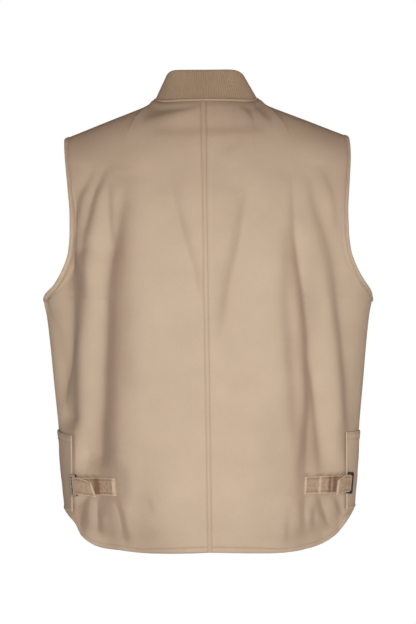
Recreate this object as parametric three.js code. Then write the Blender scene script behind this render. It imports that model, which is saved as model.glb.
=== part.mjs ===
// A sleeveless work waistcoat in twill, in the shape that it has when it is worn: a hollow body of two back
// panels and two front panels, bound armholes, a ribbed knit stand collar, patch pockets that wrap round the
// sides, and a buckled waist strap on each side of the back.
// Millimetres. +Z is up, +Y is the wearer's front and +X the wearer's right hand. The origin lies midway
// between the two points where the shoulder seams meet the collar.
import * as THREE from "three";

// Cloth and clearances
const CLOTH = 1.6; // wall of a twill panel
const TRIM_CLOTH = 1.2; // bindings, tabs and the pocket patches
const GAP = 0.5; // clearance between neighbouring pieces
const SMALL = 1e-4; // step of the numerical derivatives

// Heights of the main levels
const ARMPIT_Z = -298;
const SIDE_HEM_Z = -613;
const BACK_TAIL_DROP = 55.5; // the rounded tail hangs this far below the side seams
const FRONT_HEM_DROP = 6;
const HEM_FADE_Z = -430; // above this level the rows of the panels no longer follow the hem
const TAIL_CORNER = { sharp: 8.5, soft: 3, softShare: 0.2 }; // powers that shape the tail's round corners

// Body form: a closed section at each level, as half width and as depths behind and before the side line
const SECTION_POWER = 2 / 2.25;
const BODY = [
  { z: -690, halfWidth: 214, back: 133, front: 131 },
  { z: -613, halfWidth: 215, back: 132, front: 131 },
  { z: -560, halfWidth: 219.6, back: 129, front: 130 },
  { z: -500, halfWidth: 223.8, back: 126, front: 129 },
  { z: -420, halfWidth: 231, back: 122, front: 128 },
  { z: -350, halfWidth: 238.1, back: 124, front: 129 },
  { z: -298, halfWidth: 245.5, back: 128, front: 129 },
  { z: -250, halfWidth: 251, back: 131, front: 127 },
  { z: -200, halfWidth: 250, back: 131, front: 121 },
  { z: -150, halfWidth: 242, back: 126, front: 109 },
  { z: -100, halfWidth: 228, back: 115, front: 91 },
];

// Armhole edges: how far the panel reaches from the centre line at each level
const BACK_ARMHOLE = [
  { z: -298, reach: 245.5 },
  { z: -289, reach: 242 },
  { z: -274, reach: 229.5 },
  { z: -259, reach: 219.5 },
  { z: -244, reach: 212.5 },
  { z: -230, reach: 208 },
  { z: -201, reach: 204.5 },
  { z: -171, reach: 204 },
  { z: -141, reach: 206 },
  { z: -100, reach: 210 },
];
const FRONT_ARMHOLE = [
  { z: -298, reach: 245.5 },
  { z: -288, reach: 239 },
  { z: -270, reach: 223 },
  { z: -250, reach: 208 },
  { z: -220, reach: 198 },
  { z: -180, reach: 192 },
  { z: -140, reach: 194 },
  { z: -100, reach: 201 },
];

// On the side where the back is pulled in, its armhole edge is drawn in most just above the armpit
const TUCK = { startZ: -298, fullZ: -262, easeZ: -240, endZ: -20 };

// Neck and shoulders
const YOKE_Z = -100; // the panels leave the body form here and roll over the shoulder
const ROW_POWER = { side: 1.3, armhole: 2.4 }; // rows are closer together near the armpit
const NECK = { halfWidth: 78, back: 78, front: 80, backDrop: 5, frontDrop: 74 };
const SHOULDER = { tipX: 211, seamY: 4, slope: 0.39, flare: 4, flareLength: 8 };

// Soft folds of the back: a line from one point to another as seen from behind, its width and its height
const BACK_FOLDS = [
  { fromX: -112, fromZ: -120, toX: -128, toZ: -330, width: 13, height: -2.4 },
  { fromX: -126, fromZ: -260, toX: -139, toZ: -545, width: 15, height: -4.2 },
  { fromX: -158, fromZ: -215, toX: -164, toZ: -540, width: 17, height: 3.6 },
  { fromX: -192, fromZ: -168, toX: -166, toZ: -108, width: 9, height: -1.8 },
  { fromX: -172, fromZ: -186, toX: -146, toZ: -104, width: 10, height: -2 },
  { fromX: -181, fromZ: -205, toX: -186, toZ: -430, width: 12, height: -2.4 },
  { fromX: -54, fromZ: -130, toX: -10, toZ: -292, width: 12, height: -1 },
  { fromX: 54, fromZ: -150, toX: 16, toZ: -352, width: 13, height: -1.3 },
  { fromX: 122, fromZ: -130, toX: 152, toZ: -350, width: 13, height: -2.4 },
  { fromX: 153, fromZ: -320, toX: 140, toZ: -552, width: 14, height: -3.2 },
  { fromX: 176, fromZ: -300, toX: 172, toZ: -545, width: 16, height: 3 },
  { fromX: 162, fromZ: -136, toX: 190, toZ: -330, width: 11, height: -2.2 },
  { fromX: 189, fromZ: -300, toX: 196, toZ: -455, width: 11, height: -2 },
  { fromX: -175, fromZ: -592, toX: -182, toZ: -634, width: 11, height: -2 },
  { fromX: -156, fromZ: -592, toX: -158, toZ: -648, width: 11, height: -2.2 },
  { fromX: -128, fromZ: -592, toX: -118, toZ: -664, width: 12, height: -1.8 },
  { fromX: 135, fromZ: -592, toX: 134, toZ: -650, width: 11, height: -2 },
  { fromX: 158, fromZ: -596, toX: 168, toZ: -640, width: 11, height: -2.2 },
  { fromX: 184, fromZ: -592, toX: 192, toZ: -626, width: 10, height: -1.8 },
  { fromX: -74, fromZ: -28, toX: -12, toZ: -24, width: 9, height: -1.4 },
  { fromX: 18, fromZ: -92, toX: 52, toZ: -78, width: 10, height: -1 },
];

// Grid of each panel: columns from the centre outwards, of which the first ones end at the neck, and rows up
// the side, up the armhole and over the shoulder
const BACK_GRID = { columns: 18, neckColumns: 8, side: 8, armhole: 9, shoulder: 5 };
const FRONT_GRID = { columns: 15, neckColumns: 7, side: 7, armhole: 9, shoulder: 5 };

// Trim
const BINDING = { width: 6.5, gap: 1 };
const BACK_SEAM = { width: 7, thickness: 0.9 };
const ZIP = { width: 6, thickness: 2.2, rows: 22 };
const NECK_BINDING = { height: 4.5, thickness: 1.3 };
const COLLAR = {
  topHalfWidth: 58.5,
  topBack: 59,
  topFront: 66,
  backTopZ: 40.5,
  sideTopZ: 39.5,
  frontTopZ: -30,
  thickness: 4.2,
  ribPitch: 5.6,
  ribHeight: 0.7,
  inset: 4.8,
  footLift: 1.2,
  frontGap: 0.6,
};
const POCKET = {
  backEdgeX: 203.5,
  frontEdgeX: 96,
  topZ: -497,
  bottomZ: -611,
  gap: 1.1,
  columns: 15,
  rows: 4,
};

// Waist straps, with their three-bar slides. The two sides are drawn up by different lengths, and the left
// armhole is tucked in.
const STRAP = { z: -576, width: 28, thickness: 1.8, anchorX: 138, steps: 9, turnSteps: 6 };
const SLIDE = { lift: 7.2, bar: 2.6, barSpacing: 7.5, reach: 10.5, height: 36, corner: 3 };
const SLIDE_TAB = { width: 20, startX: 217 };
const SIDES = [
  { name: "left", sign: -1, tuck: 7, slideX: 204, freeEndX: 166, freeEndLift: 7 },
  { name: "right", sign: 1, tuck: 0, slideX: 210, freeEndX: 182, freeEndLift: 8 },
];

const TWILL = new THREE.MeshStandardMaterial({ color: 0xc3a78a, roughness: 0.85, metalness: 0 });
const KNIT = new THREE.MeshStandardMaterial({ color: 0x9c8063, roughness: 0.95, metalness: 0 });
const METAL = new THREE.MeshStandardMaterial({ color: 0x6b6764, roughness: 0.3, metalness: 1 });
const ZIP_TAPE = new THREE.MeshStandardMaterial({ color: 0xb0957a, roughness: 0.7, metalness: 0 });

const clamp = THREE.MathUtils.clamp;
const lerp = THREE.MathUtils.lerp;
const smoothstep = THREE.MathUtils.smoothstep;

// Monotone cubic curve through one column of a table whose rows rise in z.
function curveThrough(rows, column) {
  const at = rows.map((row) => row.z);
  const value = rows.map((row) => row[column]);
  const slope = at.slice(1).map((z, i) => (value[i + 1] - value[i]) / (z - at[i]));
  const tangent = value.map((_, i) => {
    const before = slope[Math.max(i - 1, 0)];
    const after = slope[Math.min(i, slope.length - 1)];
    return before * after > 0 ? (2 * before * after) / (before + after) : 0;
  });
  return (z) => {
    let i = 0;
    while (i < at.length - 2 && z > at[i + 1]) i += 1;
    const span = at[i + 1] - at[i];
    const u = clamp((z - at[i]) / span, 0, 1);
    const [u2, u3] = [u * u, u * u * u];
    return (
      (2 * u3 - 3 * u2 + 1) * value[i] +
      (u3 - 2 * u2 + u) * span * tangent[i] +
      (3 * u2 - 2 * u3) * value[i + 1] +
      (u3 - u2) * span * tangent[i + 1]
    );
  };
}

const halfWidthAt = curveThrough(BODY, "halfWidth");
const backDepthAt = curveThrough(BODY, "back");
const frontDepthAt = curveThrough(BODY, "front");

// Point of the body form. The angle runs from 0 at the centre back, past the side, to PI at the centre front.
function bodyPoint(angle, z) {
  const depth = angle < Math.PI / 2 ? backDepthAt(z) : frontDepthAt(z);
  const across = Math.abs(Math.sin(angle)) ** SECTION_POWER;
  const along = Math.abs(Math.cos(angle)) ** SECTION_POWER * Math.sign(Math.cos(angle));
  return new THREE.Vector3(halfWidthAt(z) * across, -depth * along, z);
}

// Angle, behind the side line, at which the body form is x from the centre plane.
function backAngleAt(x, z) {
  return Math.asin(Math.min(1, x / halfWidthAt(z)) ** (1 / SECTION_POWER));
}

// Outward direction of the body form, level with the ground.
function bodyNormal(angle, z) {
  const ahead = bodyPoint(angle + SMALL, z);
  const behind = bodyPoint(angle - SMALL, z);
  return new THREE.Vector3(ahead.y - behind.y, behind.x - ahead.x, 0).normalize();
}

// How far the folds push the back in or out at a point seen from behind.
function foldHeight(x, z) {
  let height = 0;
  for (const fold of BACK_FOLDS) {
    const runX = fold.toX - fold.fromX;
    const runZ = fold.toZ - fold.fromZ;
    const length = Math.hypot(runX, runZ);
    const along = ((x - fold.fromX) * runX + (z - fold.fromZ) * runZ) / length ** 2;
    const aside = ((x - fold.fromX) * runZ - (z - fold.fromZ) * runX) / length;
    const ends = smoothstep(along, -0.1, 0.3) * (1 - smoothstep(along, 0.7, 1.1));
    height += fold.height * ends * Math.exp(-((aside / fold.width) ** 2));
  }
  return height;
}

// Neckline at an angle from the centre back, as height and as distance from the neck's axis.
function neckPoint(angle) {
  const cosine = Math.cos(angle);
  const depth = cosine > 0 ? NECK.back : NECK.front;
  const drop = cosine > 0 ? NECK.backDrop : NECK.frontDrop;
  return new THREE.Vector3(NECK.halfWidth * Math.sin(angle), -depth * cosine, -drop * cosine * cosine);
}

const BACK = {
  sign: -1,
  centreAngle: 0,
  centreX: GAP / 2,
  armhole: curveThrough(BACK_ARMHOLE, "reach"),
  hemDrop: BACK_TAIL_DROP,
  grid: BACK_GRID,
  neckShare: BACK_GRID.neckColumns / BACK_GRID.columns,
  neckLean: new THREE.Vector3(0, 0.4, 0.92),
};
const FRONT = {
  sign: 1,
  centreAngle: Math.PI,
  centreX: ZIP.width / 2 + GAP,
  armhole: curveThrough(FRONT_ARMHOLE, "reach"),
  hemDrop: FRONT_HEM_DROP,
  grid: FRONT_GRID,
  neckShare: FRONT_GRID.neckColumns / FRONT_GRID.columns,
  neckLean: new THREE.Vector3(0, -0.3, 0.95),
};

// The back panel of one side, with its armhole drawn in by that side's tuck.
function backOf({ tuck }) {
  const drawnIn = (z) =>
    smoothstep(z, TUCK.startZ, TUCK.fullZ) * (1 - clamp((z - TUCK.easeZ) / (TUCK.endZ - TUCK.easeZ), 0, 1));
  return { ...BACK, armhole: (z) => BACK.armhole(z) - tuck * drawnIn(z) };
}

// Angle on the panel's own side of the body form at which it is x from the centre plane.
function panelAngle(panel, x, z) {
  const angle = backAngleAt(x, z);
  return panel.sign < 0 ? angle : Math.PI - angle;
}

// Row of a panel below the shoulder. level is the row's height at its outer edge, and s runs from 0 to 1.
function rowPoint(panel, s, level) {
  const depth = panel.sign < 0 ? backDepthAt(level) : frontDepthAt(level);
  const seamAngle = Math.PI / 2 + panel.sign * (GAP / 2 / depth) ** (1 / SECTION_POWER);
  const edge = level < ARMPIT_Z ? seamAngle : panelAngle(panel, panel.armhole(level), level);
  const outer = panel.sign < 0 ? Math.min(edge, seamAngle) : Math.max(edge, seamAngle);
  const angle = lerp(panelAngle(panel, panel.centreX, level), outer, s);
  const reach = Math.sin(angle) ** SECTION_POWER;
  const corner =
    TAIL_CORNER.softShare * reach ** TAIL_CORNER.soft +
    (1 - TAIL_CORNER.softShare) * reach ** TAIL_CORNER.sharp;
  const drop = panel.hemDrop * (1 - smoothstep(level, SIDE_HEM_Z, HEM_FADE_Z));
  return bodyPoint(angle, level - drop * (1 - corner));
}

// Angle round the neck at a share of the panel's neck edge, from its centre line to the shoulder seam.
function neckAngle(panel, share) {
  const start = Math.asin(panel.centreX / NECK.halfWidth);
  return Math.abs(panel.centreAngle - lerp(start, Math.PI / 2, share));
}

// Upper edge of a panel: round the neck to the shoulder seam, then out along the seam to the shoulder's tip.
function topEdge(panel, s) {
  if (s < panel.neckShare) return neckPoint(neckAngle(panel, s / panel.neckShare));
  const x = lerp(NECK.halfWidth, SHOULDER.tipX, (s - panel.neckShare) / (1 - panel.neckShare));
  const out = x - NECK.halfWidth;
  const flare = SHOULDER.flare * (1 - Math.exp(-out / SHOULDER.flareLength));
  const ease = smoothstep(out, 0, SHOULDER.tipX - NECK.halfWidth);
  const y = SHOULDER.seamY * ease + (panel.sign * GAP) / 2;
  return new THREE.Vector3(x, y, -SHOULDER.slope * out - flare);
}

// Direction in which the cloth arrives at its upper edge: towards the collar, or level over the shoulder.
function topDirection(panel, s) {
  const overShoulder = new THREE.Vector3(0, -panel.sign, 0);
  const atNeck = new THREE.Vector3(-0.3, -0.85 * panel.sign, 0.17);
  const direction =
    s < panel.neckShare
      ? panel.neckLean.clone().lerp(atNeck, s / panel.neckShare)
      : atNeck.lerp(overShoulder, smoothstep(s, panel.neckShare, panel.neckShare + 0.25));
  return direction.normalize();
}

// Middle surface of the wearer's right half of a panel. s runs outwards from the centre line, and t upwards:
// 0 to 1 along the side seam, 1 to 2 along the armhole and 2 to 3 over the shoulder.
function panelPoint(panel, s, t) {
  if (t <= 2) {
    const level =
      t <= 1
        ? lerp(ARMPIT_Z, SIDE_HEM_Z, (1 - t) ** ROW_POWER.side)
        : lerp(ARMPIT_Z, YOKE_Z, (t - 1) ** ROW_POWER.armhole);
    return rowPoint(panel, s, level);
  }
  const start = rowPoint(panel, s, YOKE_Z);
  const end = topEdge(panel, s);
  const length = start.distanceTo(end);
  const rise = start.clone().sub(rowPoint(panel, s, YOKE_Z - 1)).multiplyScalar(length);
  const arrive = topDirection(panel, s).multiplyScalar(length);
  const u = t - 2;
  const [u2, u3] = [u * u, u * u * u];
  return new THREE.Vector3()
    .addScaledVector(start, 2 * u3 - 3 * u2 + 1)
    .addScaledVector(rise, u3 - 2 * u2 + u)
    .addScaledVector(end, 3 * u2 - 2 * u3)
    .addScaledVector(arrive, u3 - u2);
}

// Outward direction of a panel.
function panelNormal(panel, s, t) {
  const inside = clamp(s, 2 * SMALL, 1 - 2 * SMALL);
  const below = clamp(t, 2 * SMALL, 3 - 2 * SMALL);
  const across = panelPoint(panel, inside + SMALL, below).sub(panelPoint(panel, inside - SMALL, below));
  const up = panelPoint(panel, inside, below + SMALL).sub(panelPoint(panel, inside, below - SMALL));
  return across.cross(up).multiplyScalar(-panel.sign).normalize();
}

// Point of a panel on one side of the body, lift outside its middle surface, with the folds of the back.
function clothPoint(panel, side, s, t, lift) {
  const point = panelPoint(panel, s, t);
  const fold = panel.sign < 0 ? foldHeight(side * point.x, point.z) : 0;
  point.addScaledVector(panelNormal(panel, s, t), lift + fold);
  point.x *= side;
  return point;
}

// Rows of a panel's grid, as values of t.
function gridRows({ side, armhole, shoulder }) {
  const rows = [];
  for (const [start, count] of [[0, side], [1, armhole], [2, shoulder]]) {
    for (let i = 0; i < count; i += 1) rows.push(start + i / count);
  }
  return [...rows, 3];
}

const steps = (count) => Array.from({ length: count + 1 }, (_, i) => i / count);

// Closed mesh from vertices and triangles, turned so that its faces point outwards.
function closedMesh(vertices, triangles) {
  let volume = 0;
  for (const [a, b, c] of triangles) {
    volume += vertices[a].dot(new THREE.Vector3().crossVectors(vertices[b], vertices[c]));
  }
  const turned = volume < 0 ? triangles.map(([a, b, c]) => [a, c, b]) : triangles;
  const geometry = new THREE.BufferGeometry().setFromPoints(vertices);
  geometry.setIndex(turned.flat());
  geometry.computeVertexNormals();
  return geometry;
}

// Wall between two faces that are given as point(i, j, face), with face 0 inside and 1 outside.
function wall(columns, rows, point) {
  const vertices = [];
  const triangles = [];
  const at = (i, j, face) => (face * (rows + 1) + j) * (columns + 1) + i;
  const quad = (a, b, c, d) => triangles.push([a, b, c], [a, c, d]);
  for (const face of [0, 1]) {
    for (let j = 0; j <= rows; j += 1) {
      for (let i = 0; i <= columns; i += 1) vertices.push(point(i, j, face));
    }
  }
  for (let j = 0; j < rows; j += 1) {
    for (let i = 0; i < columns; i += 1) {
      quad(at(i, j, 1), at(i + 1, j, 1), at(i + 1, j + 1, 1), at(i, j + 1, 1));
      quad(at(i, j, 0), at(i, j + 1, 0), at(i + 1, j + 1, 0), at(i + 1, j, 0));
    }
    quad(at(0, j, 0), at(0, j, 1), at(0, j + 1, 1), at(0, j + 1, 0));
    quad(at(columns, j, 1), at(columns, j, 0), at(columns, j + 1, 0), at(columns, j + 1, 1));
  }
  for (let i = 0; i < columns; i += 1) {
    quad(at(i, 0, 0), at(i + 1, 0, 0), at(i + 1, 0, 1), at(i, 0, 1));
    quad(at(i, rows, 1), at(i + 1, rows, 1), at(i + 1, rows, 0), at(i, rows, 0));
  }
  return closedMesh(vertices, triangles);
}

// Solid swept along a path whose sections all have the same number of corners, as an open run or a ring.
function sweep(sections, ring) {
  const corners = sections[0].length;
  const triangles = [];
  const spans = ring ? sections.length : sections.length - 1;
  for (let k = 0; k < spans; k += 1) {
    const [here, next] = [k * corners, ((k + 1) % sections.length) * corners];
    for (let i = 0; i < corners; i += 1) {
      const j = (i + 1) % corners;
      triangles.push([here + i, here + j, next + j], [here + i, next + j, next + i]);
    }
  }
  if (!ring) {
    const last = (sections.length - 1) * corners;
    const cap = THREE.ShapeUtils.triangulateShape(flatOutline(sections[0]), []);
    for (const [a, b, c] of cap) {
      triangles.push([c, b, a], [last + a, last + b, last + c]);
    }
  }
  return closedMesh(sections.flat(), triangles);
}

// A section's corners in its own plane.
function flatOutline(section) {
  const across = section[1].clone().sub(section[0]).normalize();
  const far = section.reduce((a, b) => (b.distanceTo(section[0]) > a.distanceTo(section[0]) ? b : a));
  const up = far.clone().sub(section[0]);
  up.addScaledVector(across, -up.dot(across)).normalize();
  return section.map((corner) => {
    const from = corner.clone().sub(section[0]);
    return new THREE.Vector2(from.dot(across), from.dot(up));
  });
}

// Half of the back or of the front, from its centre line to its side seam and armhole.
function panelGeometry(panel, side) {
  const rows = gridRows(panel.grid);
  const columns = steps(panel.grid.columns);
  return wall(columns.length - 1, rows.length - 1, (i, j, face) =>
    clothPoint(panel, side, columns[i], rows[j], (face - 0.5) * CLOTH),
  );
}

// Binding folded over the edge of an armhole: up the back, over the shoulder and down the front.
function armholeBinding(side) {
  const edge = [];
  for (const [panel, order] of [[backOf(side), 1], [FRONT, -1]]) {
    const rows = gridRows(panel.grid).filter((t) => t >= 1);
    const run = order > 0 ? rows : rows.reverse();
    const kept = order > 0 ? run : run.slice(1, -1);
    for (const t of kept) {
      const normal = panelNormal(panel, 1, t);
      normal.x *= side.sign;
      edge.push({ point: clothPoint(panel, side.sign, 1, t, 0), normal });
    }
  }
  const inner = CLOTH / 2 + BINDING.gap;
  const outer = inner + TRIM_CLOTH;
  const outline = [
    [BINDING.width, outer],
    [-GAP - TRIM_CLOTH, outer],
    [-GAP - TRIM_CLOTH, -outer],
    [BINDING.width, -outer],
    [BINDING.width, -inner],
    [-GAP, -inner],
    [-GAP, inner],
    [BINDING.width, inner],
  ];
  const sections = edge.map(({ point, normal }, k) => {
    const next = edge[(k + 1) % edge.length].point;
    const last = edge[(k + edge.length - 1) % edge.length].point;
    const inward = next.clone().sub(last).cross(normal).normalize().multiplyScalar(-side.sign);
    return outline.map(([a, n]) => point.clone().addScaledVector(inward, a).addScaledVector(normal, n));
  });
  return sweep(sections, true);
}

// Felled strip over the centre back seam, from the hem to the neck.
function backSeam() {
  const half = BACK_SEAM.width / 2;
  const lift = CLOTH / 2 + GAP;
  const sections = gridRows(BACK.grid).map((t) => {
    const centre = panelPoint(BACK, 0, t);
    const normal = panelNormal(BACK, 0, t);
    normal.x = 0;
    normal.normalize();
    const under = lift + foldHeight(0, centre.z);
    const over = under + BACK_SEAM.thickness;
    return [[-half, under], [half, under], [half, over], [-half, over]].map(([x, n]) =>
      new THREE.Vector3(x, centre.y, centre.z).addScaledVector(normal, n),
    );
  });
  return sweep(sections, false);
}

// Closed zip between the front edges, one plain strip from the hem to the neck.
function frontZip() {
  const half = ZIP.width / 2;
  const sections = steps(ZIP.rows).map((share) => {
    const t = 3 * share;
    const centre = panelPoint(FRONT, 0, t);
    const normal = panelNormal(FRONT, 0, t);
    normal.x = 0;
    normal.normalize();
    return [[-half, -0.5], [half, -0.5], [half, 0.5], [-half, 0.5]].map(([x, n]) =>
      new THREE.Vector3(x, centre.y, centre.z).addScaledVector(normal, n * ZIP.thickness),
    );
  });
  return sweep(sections, false);
}

// Binding that stands on the neck edge of the panels and covers the collar's seam.
function neckBinding() {
  const back = steps(BACK.grid.neckColumns).map((share) => neckAngle(BACK, share));
  const front = steps(FRONT.grid.neckColumns).map((share) => neckAngle(FRONT, 1 - share));
  const right = [...back, ...front.slice(1)];
  const left = right.map((angle) => -angle).reverse();
  const sections = [...left, ...right].map((angle) => {
    const foot = neckPoint(angle);
    const out = new THREE.Vector3(Math.sin(angle), -Math.cos(angle), 0);
    const rise = collarDirection(angle);
    const lift = CLOTH / 2 + GAP;
    return [[0, 0], [1, 0], [1, 1], [0, 1]].map(([a, h]) =>
      foot
        .clone()
        .addScaledVector(out, (a - 0.5) * NECK_BINDING.thickness)
        .addScaledVector(rise, lift + h * NECK_BINDING.height),
    );
  });
  return sweep(sections, false);
}

// Upper edge of the collar at an angle from the centre back.
function collarTop(angle) {
  const cosine = Math.cos(angle);
  const depth = cosine > 0 ? COLLAR.topBack : COLLAR.topFront;
  const end = cosine > 0 ? COLLAR.backTopZ : COLLAR.frontTopZ;
  const z = lerp(COLLAR.sideTopZ, end, cosine * cosine);
  return new THREE.Vector3(COLLAR.topHalfWidth * Math.sin(angle), -depth * cosine, z);
}

// Direction up the collar's wall.
function collarDirection(angle) {
  return collarTop(angle).sub(neckPoint(angle)).normalize();
}

// Ribbed knit stand collar: a double wall, folded at its upper edge, whose ends meet at the centre front.
function collar() {
  const girth = 2 * Math.PI * Math.sqrt((NECK.halfWidth ** 2 + NECK.back ** 2) / 2);
  const ribs = Math.round(girth / COLLAR.ribPitch);
  const columns = 2 * ribs;
  const end = Math.PI - Math.asin(COLLAR.frontGap / 2 / COLLAR.topHalfWidth) - 0.004;
  const half = COLLAR.thickness / 2;
  const sections = steps(columns).map((share, k) => {
    const angle = lerp(-end, end, share);
    const out = new THREE.Vector3(Math.sin(angle), -Math.cos(angle), 0);
    const foot = neckPoint(angle).addScaledVector(out, -COLLAR.inset);
    foot.addScaledVector(collarDirection(angle), COLLAR.footLift);
    const top = collarTop(angle).addScaledVector(out, -half);
    const rib = k % 2 ? COLLAR.ribHeight : 0;
    const outline = [
      [0, -half - rib],
      [0, half + rib],
      [0.95, half + rib],
      [1, 0.5 * half],
      [1, -0.5 * half],
      [0.95, -half - rib],
    ];
    return outline.map(([h, n]) => foot.clone().lerp(top, h).addScaledVector(out, n));
  });
  return sweep(sections, false);
}

// Patch pocket laid round the side, from the back over the side seam to the front.
function pocket(side) {
  const lift = CLOTH / 2 + POCKET.gap;
  return wall(POCKET.columns, POCKET.rows, (i, j, face) => {
    const z = lerp(POCKET.bottomZ, POCKET.topZ, j / POCKET.rows);
    const start = backAngleAt(POCKET.backEdgeX, z);
    const end = Math.PI - backAngleAt(POCKET.frontEdgeX, z);
    const angle = lerp(start, end, i / POCKET.columns);
    const point = bodyPoint(angle, z).addScaledVector(bodyNormal(angle, z), lift + face * TRIM_CLOTH);
    point.x *= side;
    return point;
  });
}

// Plan point at the strap's level, lift outside the middle of the back's cloth.
function strapPlan(x, lift) {
  const angle = backAngleAt(x, STRAP.z);
  const point = bodyPoint(angle, STRAP.z).addScaledVector(bodyNormal(angle, STRAP.z), lift);
  return new THREE.Vector2(point.x, point.y);
}

// Frame of a slide in plan: its outer bar, the way in towards the centre back, and the way out of the cloth.
function slideFrame(slideX) {
  const outer = strapPlan(slideX, SLIDE.lift);
  const inward = strapPlan(slideX - SLIDE.reach, SLIDE.lift).sub(outer).normalize();
  const out = new THREE.Vector2(-inward.y, inward.x);
  if (out.y > 0) out.negate();
  const at = (along, lift) => outer.clone().addScaledVector(inward, along).addScaledVector(out, lift);
  return { outer, inward, out, at };
}

// Upright ribbon whose middle follows a path in plan.
function ribbon(path, thickness, width, level, side) {
  const edges = [[], []];
  path.forEach((point, k) => {
    const next = path[Math.min(k + 1, path.length - 1)];
    const last = path[Math.max(k - 1, 0)];
    const along = next.clone().sub(last).normalize();
    const across = new THREE.Vector2(-along.y, along.x).multiplyScalar(thickness / 2);
    edges[0].push(point.clone().add(across));
    edges[1].push(point.clone().sub(across));
  });
  const outline = [...edges[0], ...edges[1].reverse()].map((p) => new THREE.Vector2(side * p.x, p.y));
  const geometry = new THREE.ExtrudeGeometry(new THREE.Shape(outline), {
    depth: width,
    bevelEnabled: false,
  });
  return followTaper(geometry.translate(0, 0, level - width / 2));
}

// Leans a piece at the strap's level with the body, which narrows downwards.
function followTaper(geometry) {
  const position = geometry.getAttribute("position");
  for (let i = 0; i < position.count; i += 1) {
    const z = position.getZ(i);
    const narrow = halfWidthAt(z) / halfWidthAt(STRAP.z);
    const shallow = backDepthAt(z) / backDepthAt(STRAP.z);
    position.setXYZ(i, position.getX(i) * narrow, position.getY(i) * shallow, z);
  }
  return geometry;
}

// Half turn of a ribbon in plan, from under a bar to over it, round the bar's outer or inner side.
function wrap(frame, along, radius, roundOuterSide) {
  return steps(STRAP.turnSteps).map((share) => {
    const angle = -Math.PI / 2 + (roundOuterSide ? -1 : 1) * Math.PI * share;
    return frame.at(along + radius * Math.cos(angle), radius * Math.sin(angle));
  });
}

// Waist strap: sewn to the back, run out to the slide, round its inner bar and back over itself.
function waistStrap({ sign, slideX, freeEndX, freeEndLift }) {
  const frame = slideFrame(slideX);
  const inner = 2 * SLIDE.barSpacing;
  const radius = SLIDE.bar / 2 + GAP + STRAP.thickness / 2;
  const flat = CLOTH / 2 + GAP + STRAP.thickness / 2;
  const nearX = slideX - SLIDE.reach - 5;
  const below = steps(STRAP.steps).map((share) =>
    strapPlan(lerp(STRAP.anchorX, nearX, share), lerp(flat, SLIDE.lift - radius, smoothstep(share, 0.2, 1))),
  );
  const above = steps(STRAP.steps).map((share) =>
    strapPlan(lerp(nearX, freeEndX, share), lerp(SLIDE.lift + radius, freeEndLift, share)),
  );
  const path = [...below, ...wrap(frame, inner, radius, true), ...above];
  return ribbon(path, STRAP.thickness, STRAP.width, STRAP.z, sign);
}

// Tab that is sewn to the pocket, passes under the slide's outer bar and turns over its middle bar.
function slideTab({ sign, slideX }) {
  const frame = slideFrame(slideX);
  const radius = SLIDE.bar / 2 + GAP + TRIM_CLOTH / 2;
  const flat = CLOTH / 2 + POCKET.gap + GAP + 1.5 * TRIM_CLOTH;
  const sewn = steps(3).map((share) => strapPlan(lerp(SLIDE_TAB.startX, slideX + 1, share), flat));
  const path = [...sewn, ...wrap(frame, SLIDE.barSpacing, radius, false)];
  return ribbon(path, TRIM_CLOTH, SLIDE_TAB.width, STRAP.z, sign);
}

// Three-bar metal slide, a plate with two windows and rounded corners.
function slide({ sign, slideX }) {
  const frame = slideFrame(slideX);
  const [bar, height, corner] = [SLIDE.bar, SLIDE.height, SLIDE.corner];
  const width = 2 * SLIDE.barSpacing + bar;
  const bevel = bar / 4;
  const roundedBox = (path, x0, y0, x1, y1, r) => {
    path.moveTo(x0 + r, y0);
    path.lineTo(x1 - r, y0).quadraticCurveTo(x1, y0, x1, y0 + r);
    path.lineTo(x1, y1 - r).quadraticCurveTo(x1, y1, x1 - r, y1);
    path.lineTo(x0 + r, y1).quadraticCurveTo(x0, y1, x0, y1 - r);
    path.lineTo(x0, y0 + r).quadraticCurveTo(x0, y0, x0 + r, y0);
    return path;
  };
  const plate = roundedBox(
    new THREE.Shape(),
    bevel - bar / 2,
    bevel - height / 2,
    width - bar / 2 - bevel,
    height / 2 - bevel,
    corner,
  );
  for (const start of [bar / 2, SLIDE.barSpacing + bar / 2]) {
    const end = start + SLIDE.barSpacing - bar;
    const inside = height / 2 - bar;
    plate.holes.push(
      roundedBox(new THREE.Path(), start - bevel, -inside - bevel, end + bevel, inside + bevel, 1),
    );
  }
  const geometry = new THREE.ExtrudeGeometry(plate, {
    depth: bar - 2 * bevel,
    bevelSize: bevel,
    bevelThickness: bevel,
    bevelSegments: 1,
    curveSegments: 3,
  });
  geometry.translate(0, 0, -(bar - 2 * bevel) / 2);
  const inward = new THREE.Vector3(frame.inward.x, frame.inward.y, 0);
  const up = new THREE.Vector3(0, 0, 1);
  const place = new THREE.Matrix4().makeBasis(inward, up, inward.clone().cross(up));
  place.setPosition(frame.outer.x, frame.outer.y, STRAP.z);
  geometry.applyMatrix4(place);
  if (sign < 0) mirror(geometry);
  return followTaper(geometry);
}

// Mirrors a geometry from one side of the body to the other, with its faces still pointing outwards.
function mirror(geometry) {
  geometry.scale(-1, 1, 1);
  const position = geometry.getAttribute("position");
  const corner = new THREE.Vector3();
  const swapped = new THREE.Vector3();
  for (let i = 0; i < position.count; i += 3) {
    corner.fromBufferAttribute(position, i + 1);
    swapped.fromBufferAttribute(position, i + 2);
    position.setXYZ(i + 1, swapped.x, swapped.y, swapped.z);
    position.setXYZ(i + 2, corner.x, corner.y, corner.z);
  }
}

const waistcoat = new THREE.Group();
waistcoat.name = "waistcoat";

function add(name, geometry, material) {
  const mesh = new THREE.Mesh(geometry, material);
  mesh.name = name;
  waistcoat.add(mesh);
}

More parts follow.
